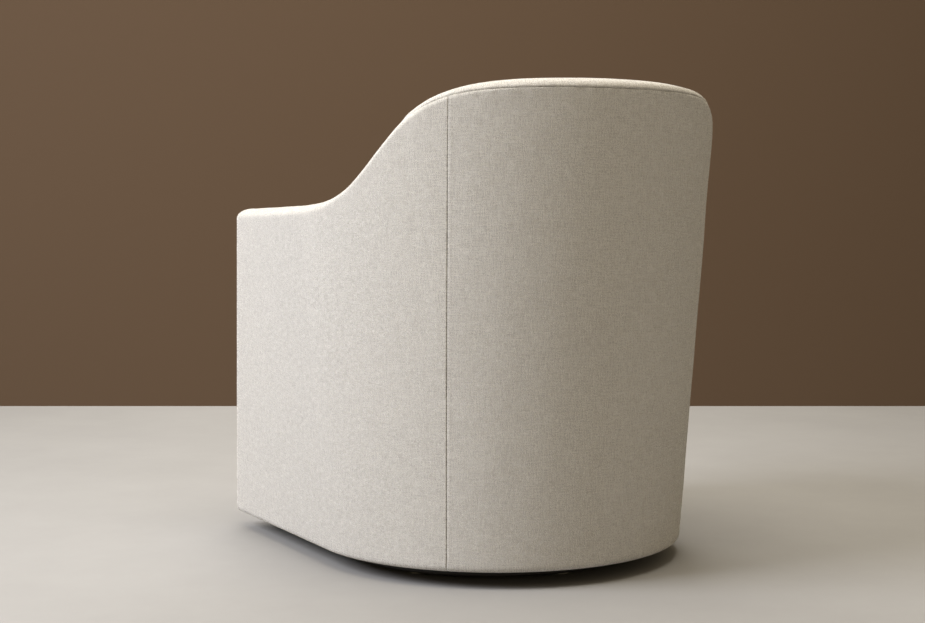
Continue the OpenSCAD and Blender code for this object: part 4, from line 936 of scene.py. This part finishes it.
rise = np.array([0.0012, 0.0012, 0.0012, 0.0012, 0.0018, 0.0030, 0.0037, 0.0041, 0.0043, 0.0043])
slider = on_zip(
    slider_at + 0.0062 * shares * np.sign(np.cos(turn)) * np.abs(np.cos(turn)) ** 0.8,
    0.0042 * shares * np.sign(np.sin(turn)) * np.abs(np.sin(turn)) ** 0.6,
    rise[:, None] + 0 * turn)
plated = new_material("plated_slider", (0.60, 0.60, 0.61), 0.28, Metallic=1.0)[0]
slider = stacked("zip_slider", slider, np.zeros((10, 24, 2)), plated)
u = np.linspace(0, 1, 14)[:, None]
pull = on_zip(slider_at + 0.002 + 0.018 * u, (0.0011 + 0.0014 * u) * np.cos(turn)[None],
              0.0050 + 0.0005 * np.sin(turn)[None] - 0.0018 * u)
pull = stacked("zip_pull", pull, np.zeros((14, 24, 2)), plated)
for piece in (tape, teeth, slider, pull):
    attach(piece, "seat")
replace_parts(tape, "cushion_zip")

# Padding of the back and arms: cut foam glued over the webbing and the frame, bent over the
# crest rail, and a firm roll along the front edge.


def padding(name, front, back):
    """Foam between two grids of points."""
    uv = np.stack([run_length(front, 1), run_length(front, 0)], -1)
    return soft_on_seat(closed_sheet(name, front, back, uv, foam))


crest_cap, crest_rail_h, crest_rail_w, board_in = 0.024, 0.022, 0.028, 0.0056
arm_foam_t, back_foam_extra, edge_gap = 0.022, 0.016, seam_gap / 2
rail_gap, rail_play = 0.0004, 0.001


def foam_back(s, z):
    """Depth of the back of the foam, which is thicker in the small of the back."""
    extra = (inside_depth(s, z) - wall_t) / back_extra
    return inside_depth(s, z) - board_in - arm_foam_t - back_foam_extra * extra


def wall_padding(name, low, high):
    """Foam between two places round the shell, from the seat ring up to the crest rail."""
    s = np.linspace(low, high, max(8, int((high - low) / 0.012)))
    top = crest(above(s)) - crest_cap - crest_rail_h - 2 * layer_gap - rail_gap
    z = pad_foot + (top - pad_foot)[None, :] * np.linspace(0, 1, 34)[:, None]
    p = along(s, z)
    return padding(name, wall(p, z, inside_depth(p, z) - board_in),
                   wall(p, z, foam_back(p, z)))


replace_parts(wall_padding("back_cut_foam", -inside_seam_s + edge_gap, inside_seam_s - edge_gap),
            "back_foam")
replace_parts(wall_padding("arm_cut_foam_left", inside_seam_s + edge_gap, quarter + cover_end),
            "arm_foam_left")
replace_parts(wall_padding("arm_cut_foam_right", -quarter - cover_end, -inside_seam_s - edge_gap),
            "arm_foam_right")
s = np.linspace(-quarter - cover_end, quarter + cover_end, 220)
top = above(s)
depth = cover_t + 2 * layer_gap
hug = roll_r - crest_rail_w / 2 - rail_play
low = crest(top) - crest_cap - crest_rail_h + layer_gap + rail_gap
high = crest(top) - crest_cap + rail_play
outer = ([wall(top, low, depth)] + [on_roll(top, a, depth) for a in np.linspace(0, 180, 17)]
         + [wall(top, low, wall_t - depth)])
share = np.linspace(0, 1, 7)
inner = ([wall(top, low + (high - low) * v, hug) for v in share]
         + [wall(top, high, hug + (wall_t - 2 * hug) * v) for v in share[1:-1]]
         + [wall(top, high + (low - high) * v, wall_t - hug) for v in share])
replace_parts(padding("crest_cut_foam", np.array(outer), np.array(inner)), "crest_foam")
roll_top = deck_top - cover_t - layer_gap
round_r = border_round - cover_t - layer_gap
front_y = border_y + board_in
line = np.concatenate([[[front_y, pad_foot]],
                       arc(front_y + round_r, roll_top - round_r, round_r, 180, 90, 10),
                       arc(rear_y - round_r, roll_top - round_r, round_r, 90, 0, 10),
                       [[rear_y, pad_foot]]])
x = np.linspace(-border_half, border_half, 60)
grid = np.stack(np.broadcast_arrays(x[None], line[:, :1], line[:, 1:]), -1)
foot = grid.copy()
foot[..., 1] = np.linspace(front_y, rear_y, len(line))[:, None]
foot[..., 2] = pad_foot
grid[[0, -1], :, 2] += 0.0005
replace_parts(padding("front_edge_foam", grid, foot), "front_edge_roll")

# Back webbing: three jute webs strained across the ribs behind the foam, one above the other.
# Each is a thick plain weave with low ribs along it, stapled at its two ends.
jute_web = cloth_material("jute_web", (0.50, 0.39, 0.24), 0.20, 0.0008, 480, 1.3)
web_z, web_w, web_t, web_space = pad_foot + 0.050, 0.050, 0.0016, 0.088
webs = []
s = np.linspace(-inside_seam_s + edge_gap, inside_seam_s - edge_gap, 90)
share = np.linspace(0, 1, 13)
ridge = 0.00015 * np.cos(share * 2 * math.pi * 4)[:, None]
for i in range(3):
    z = web_z + i * web_space + web_w * share[:, None] + 0 * s
    p = along(s, z)
    depth = foam_back(p, z) - layer_gap
    web = closed_sheet(f"jute_web_{i + 1}", wall(p, z, depth - 0.0002 + ridge),
                       wall(p, z, depth - web_t), np.stack([p, z], -1), jute_web)
    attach(web, "seat")
    webs.append(web)
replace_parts(webs[0], "back_webbing")

# Dust cover: black spun cloth stapled up under the bottom ring, just inside the hem. It has a
# round opening that clears the swivel's bolts.
bolt_r, bolt_head, hole_gap, dust_z, dust_t = 0.110 * math.sqrt(2), 0.009, 0.020, 0.025, 0.0004
hole_r, inset, front_inset = bolt_r + bolt_head + hole_gap, 0.013, 0.007
s = np.linspace(0, quarter + arc_y - (border_y + front_inset), 90)
half_line = wall(s, hem_z, inset)[:, :2]
front = np.stack([np.linspace(half_line[-1, 0], -half_line[-1, 0], 44)[1:-1],
                  np.full(42, border_y + front_inset)], -1)
edge_line = np.concatenate([half_line, front, (half_line * [-1, 1])[::-1][:-1]])
turn = np.arctan2(edge_line[:, 1], edge_line[:, 0])
hole = hole_r * np.stack([np.cos(turn), np.sin(turn)], -1)
share = np.linspace(0, 1, 9)[:, None, None]
sheet = hole[None] * (1 - share) + edge_line[None] * share
pucker_z = 0.0003 * np.sin(np.arange(len(turn)) * 1.9)[None, :, None] * share
low = np.concatenate([sheet, dust_z + pucker_z], -1)
rings = np.concatenate([low, low[::-1] + [0, 0, dust_t]])
points = rings.reshape(-1, 3)
dust_cloth = felt_material("dust_cloth", (0.022, 0.021, 0.020), 0.5)
piece = new_piece("dust_cloth", points, grid_faces(*rings.shape[:2], True, True), points[:, :2],
                  dust_cloth)
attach(piece, "seat")
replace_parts(piece, "dust_cover")

# Wooden frame: rings, ribs and posts sawn from beech plywood, solid beech rails and blocks, a
# laminated crest rail, and hardboard behind the covers. All are glued and screwed together.
plywood, beech = ((0.62, 0.44, 0.26), (0.42, 0.27, 0.14)), ((0.60, 0.40, 0.24), (0.43, 0.26, 0.14))


def wood_group():
    """Node group of sawn wood. Grain is noise at a place stretched along the piece, plus a share
    of a finer noise, its short flecks. Tone is the grain less a constant, cut off at 0 and 1."""
    tree, given, end = new_group("sawn_grain", {}, ("Tone", "Grain"))
    grain = spread(tree, noise(tree, given["Place"], 9.0, 6, Distortion=0.4), 0.3, 0.75)
    grain = maths(tree, "MULTIPLY_ADD", noise(tree, given["Place"], 60.0), 0.35, grain)
    feed(tree, end, {"Grain": grain, "Tone": maths(tree, "SUBTRACT", grain, 0.17, use_clamp=True)})
    return tree


sawn_grain = wood_group()


def wood_material(name, pale, dark, stretch, plies=0.0, roughness=0.55):
    """Sawn wood, its grain stretched along the piece and, where plies is not zero, level bands
    of alternate veneers that many metres thick."""
    material, tree, shader = new_material(name, pale, roughness)
    place = object_place(tree)
    stretched = add(tree, "ShaderNodeMapping", {"Vector": place, "Scale": stretch})["Vector"]
    wood = add(tree, "ShaderNodeGroup", {"Place": stretched}, node_tree=sawn_grain)
    tone = between(tree, wood["Tone"], pale, dark)
    if plies:
        level = add(tree, "ShaderNodeSeparateXYZ", {0: place})["Z"]
        band = spread(tree, maths(tree, "PINGPONG", level, plies), plies * 0.35, plies * 0.6,
                      0.0, 0.3)
        tone = between(tree, band, tone, shade(dark, 0.6))
    feed(tree, shader, {"Base Color": tone, "Normal": bump(tree, wood["Grain"], 0.0004, 0.25)})
    return material


def finish(material, *names):
    """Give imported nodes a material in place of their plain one."""
    for name in names:
        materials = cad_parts[name].data.materials
        materials.clear()
        materials.append(material)


finish(wood_material("plywood_rings", *plywood, (1, 5, 5), 0.0016), "bottom_ring", "seat_ring")
finish(wood_material("plywood_ribs", *plywood, (6, 6, 0.7)), "back_ribs", "arm_ribs")
finish(wood_material("beech_rails", *beech, (0.6, 6, 6)), "front_seat_rail", "rear_spring_rail",
       "corner_blocks")
finish(wood_material("beech_posts", *beech, (6, 6, 0.6)), "front_posts")
finish(wood_material("swivel_rails", *beech, (6, 0.6, 6)), "swivel_rails")
finish(wood_material("beech_crest", (0.62, 0.43, 0.26), (0.44, 0.27, 0.15), (2, 2, 6)),
       "crest_rail")
finish(wood_material("hardboard", (0.23, 0.13, 0.07), (0.15, 0.08, 0.04), (7, 7, 7), 0.0, 0.7),
       "back_board", "side_board_left", "side_board_right", "front_board")

# Steelwork: zinc-plated bolts, nuts and pressed plates, blued spring wire, hardened balls and
# a king pin. The plates and bolts hold the shell to the plinth, and the balls let it turn.


def wear_group():
    """Node group of worn metal: Patch is slow noise that dulls it, Scratch fine noise."""
    tree, given, end = new_group("metal_wear", {}, ("Patch", "Scratch"))
    feed(tree, end, {"Patch": noise(tree, given["Place"], 55.0, 5),
                     "Scratch": noise(tree, given["Place"], 700.0)})
    return tree


metal_wear = wear_group()


def metal_material(name, color, dull, roughness, scratch):
    """Plated or drawn metal: patches that dull and roughen it, and a relief of fine scratches."""
    material, tree, shader = new_material(name, color, roughness, Metallic=1.0)
    wear = add(tree, "ShaderNodeGroup", {"Place": object_place(tree)}, node_tree=metal_wear)
    feed(tree, shader, {
        "Base Color": between(tree, wear["Patch"], color, dull),
        "Roughness": spread(tree, wear["Patch"], 0.0, 1.0, roughness - 0.1, roughness + 0.18),
        "Normal": bump(tree, wear["Scratch"], 0.0001, scratch)})
    return material


finish(metal_material("zinc_plate", (0.60, 0.61, 0.62), (0.50, 0.49, 0.45), 0.38, 0.2),
       "plinth_bolts", "plinth_nuts", "frame_bolts", "frame_nuts", "rail_screws", "king_washer",
       "king_nut", "lower_swivel_plate", "upper_swivel_plate", "spring_clips")
finish(metal_material("bright_steel", (0.66, 0.66, 0.67), (0.58, 0.58, 0.58), 0.22, 0.1),
       "king_pin", "bearing_balls")
finish(metal_material("spring_wire", (0.20, 0.20, 0.21), (0.14, 0.13, 0.13), 0.36, 0.15),
       "seat_springs", "tie_wire")

# Moulded nylon: glides pressed into the plinth's underside, the ball cage and the pivot bush.
# It is a little cloudy, and scuffs roughen it.
pale, scuffed = (0.74, 0.72, 0.66), 0.88
white_nylon, tree, shader = new_material("white_nylon", pale, 0.42)
cloud = noise(tree, object_place(tree), 120.0, 4)
feed(tree, shader, {"Base Color": between(tree, cloud, pale, shade(pale, scuffed)),
                    "Roughness": spread(tree, cloud, 0.0, 1.0, 0.32, 0.55)})
finish(white_nylon, "floor_glides", "ball_cage", "pivot_bush")

# Plinth: a round board that stands on the glides and carries the swivel. It is painted satin
# black, with a rolled-on texture and a little dust.
black_paint, tree, shader = new_material("black_paint", (0.018, 0.017, 0.016), 0.5)
place = object_place(tree)
dust = noise(tree, place, 14.0, 8)
feed(tree, shader, {
    "Base Color": between(tree, dust, (0.014, 0.013, 0.012), (0.040, 0.037, 0.034)),
    "Roughness": spread(tree, dust, 0.0, 1.0, 0.35, 0.7),
    "Normal": bump(tree, noise(tree, place, 420.0, 3), 0.0003, 0.3)})
finish(black_paint, "plinth")
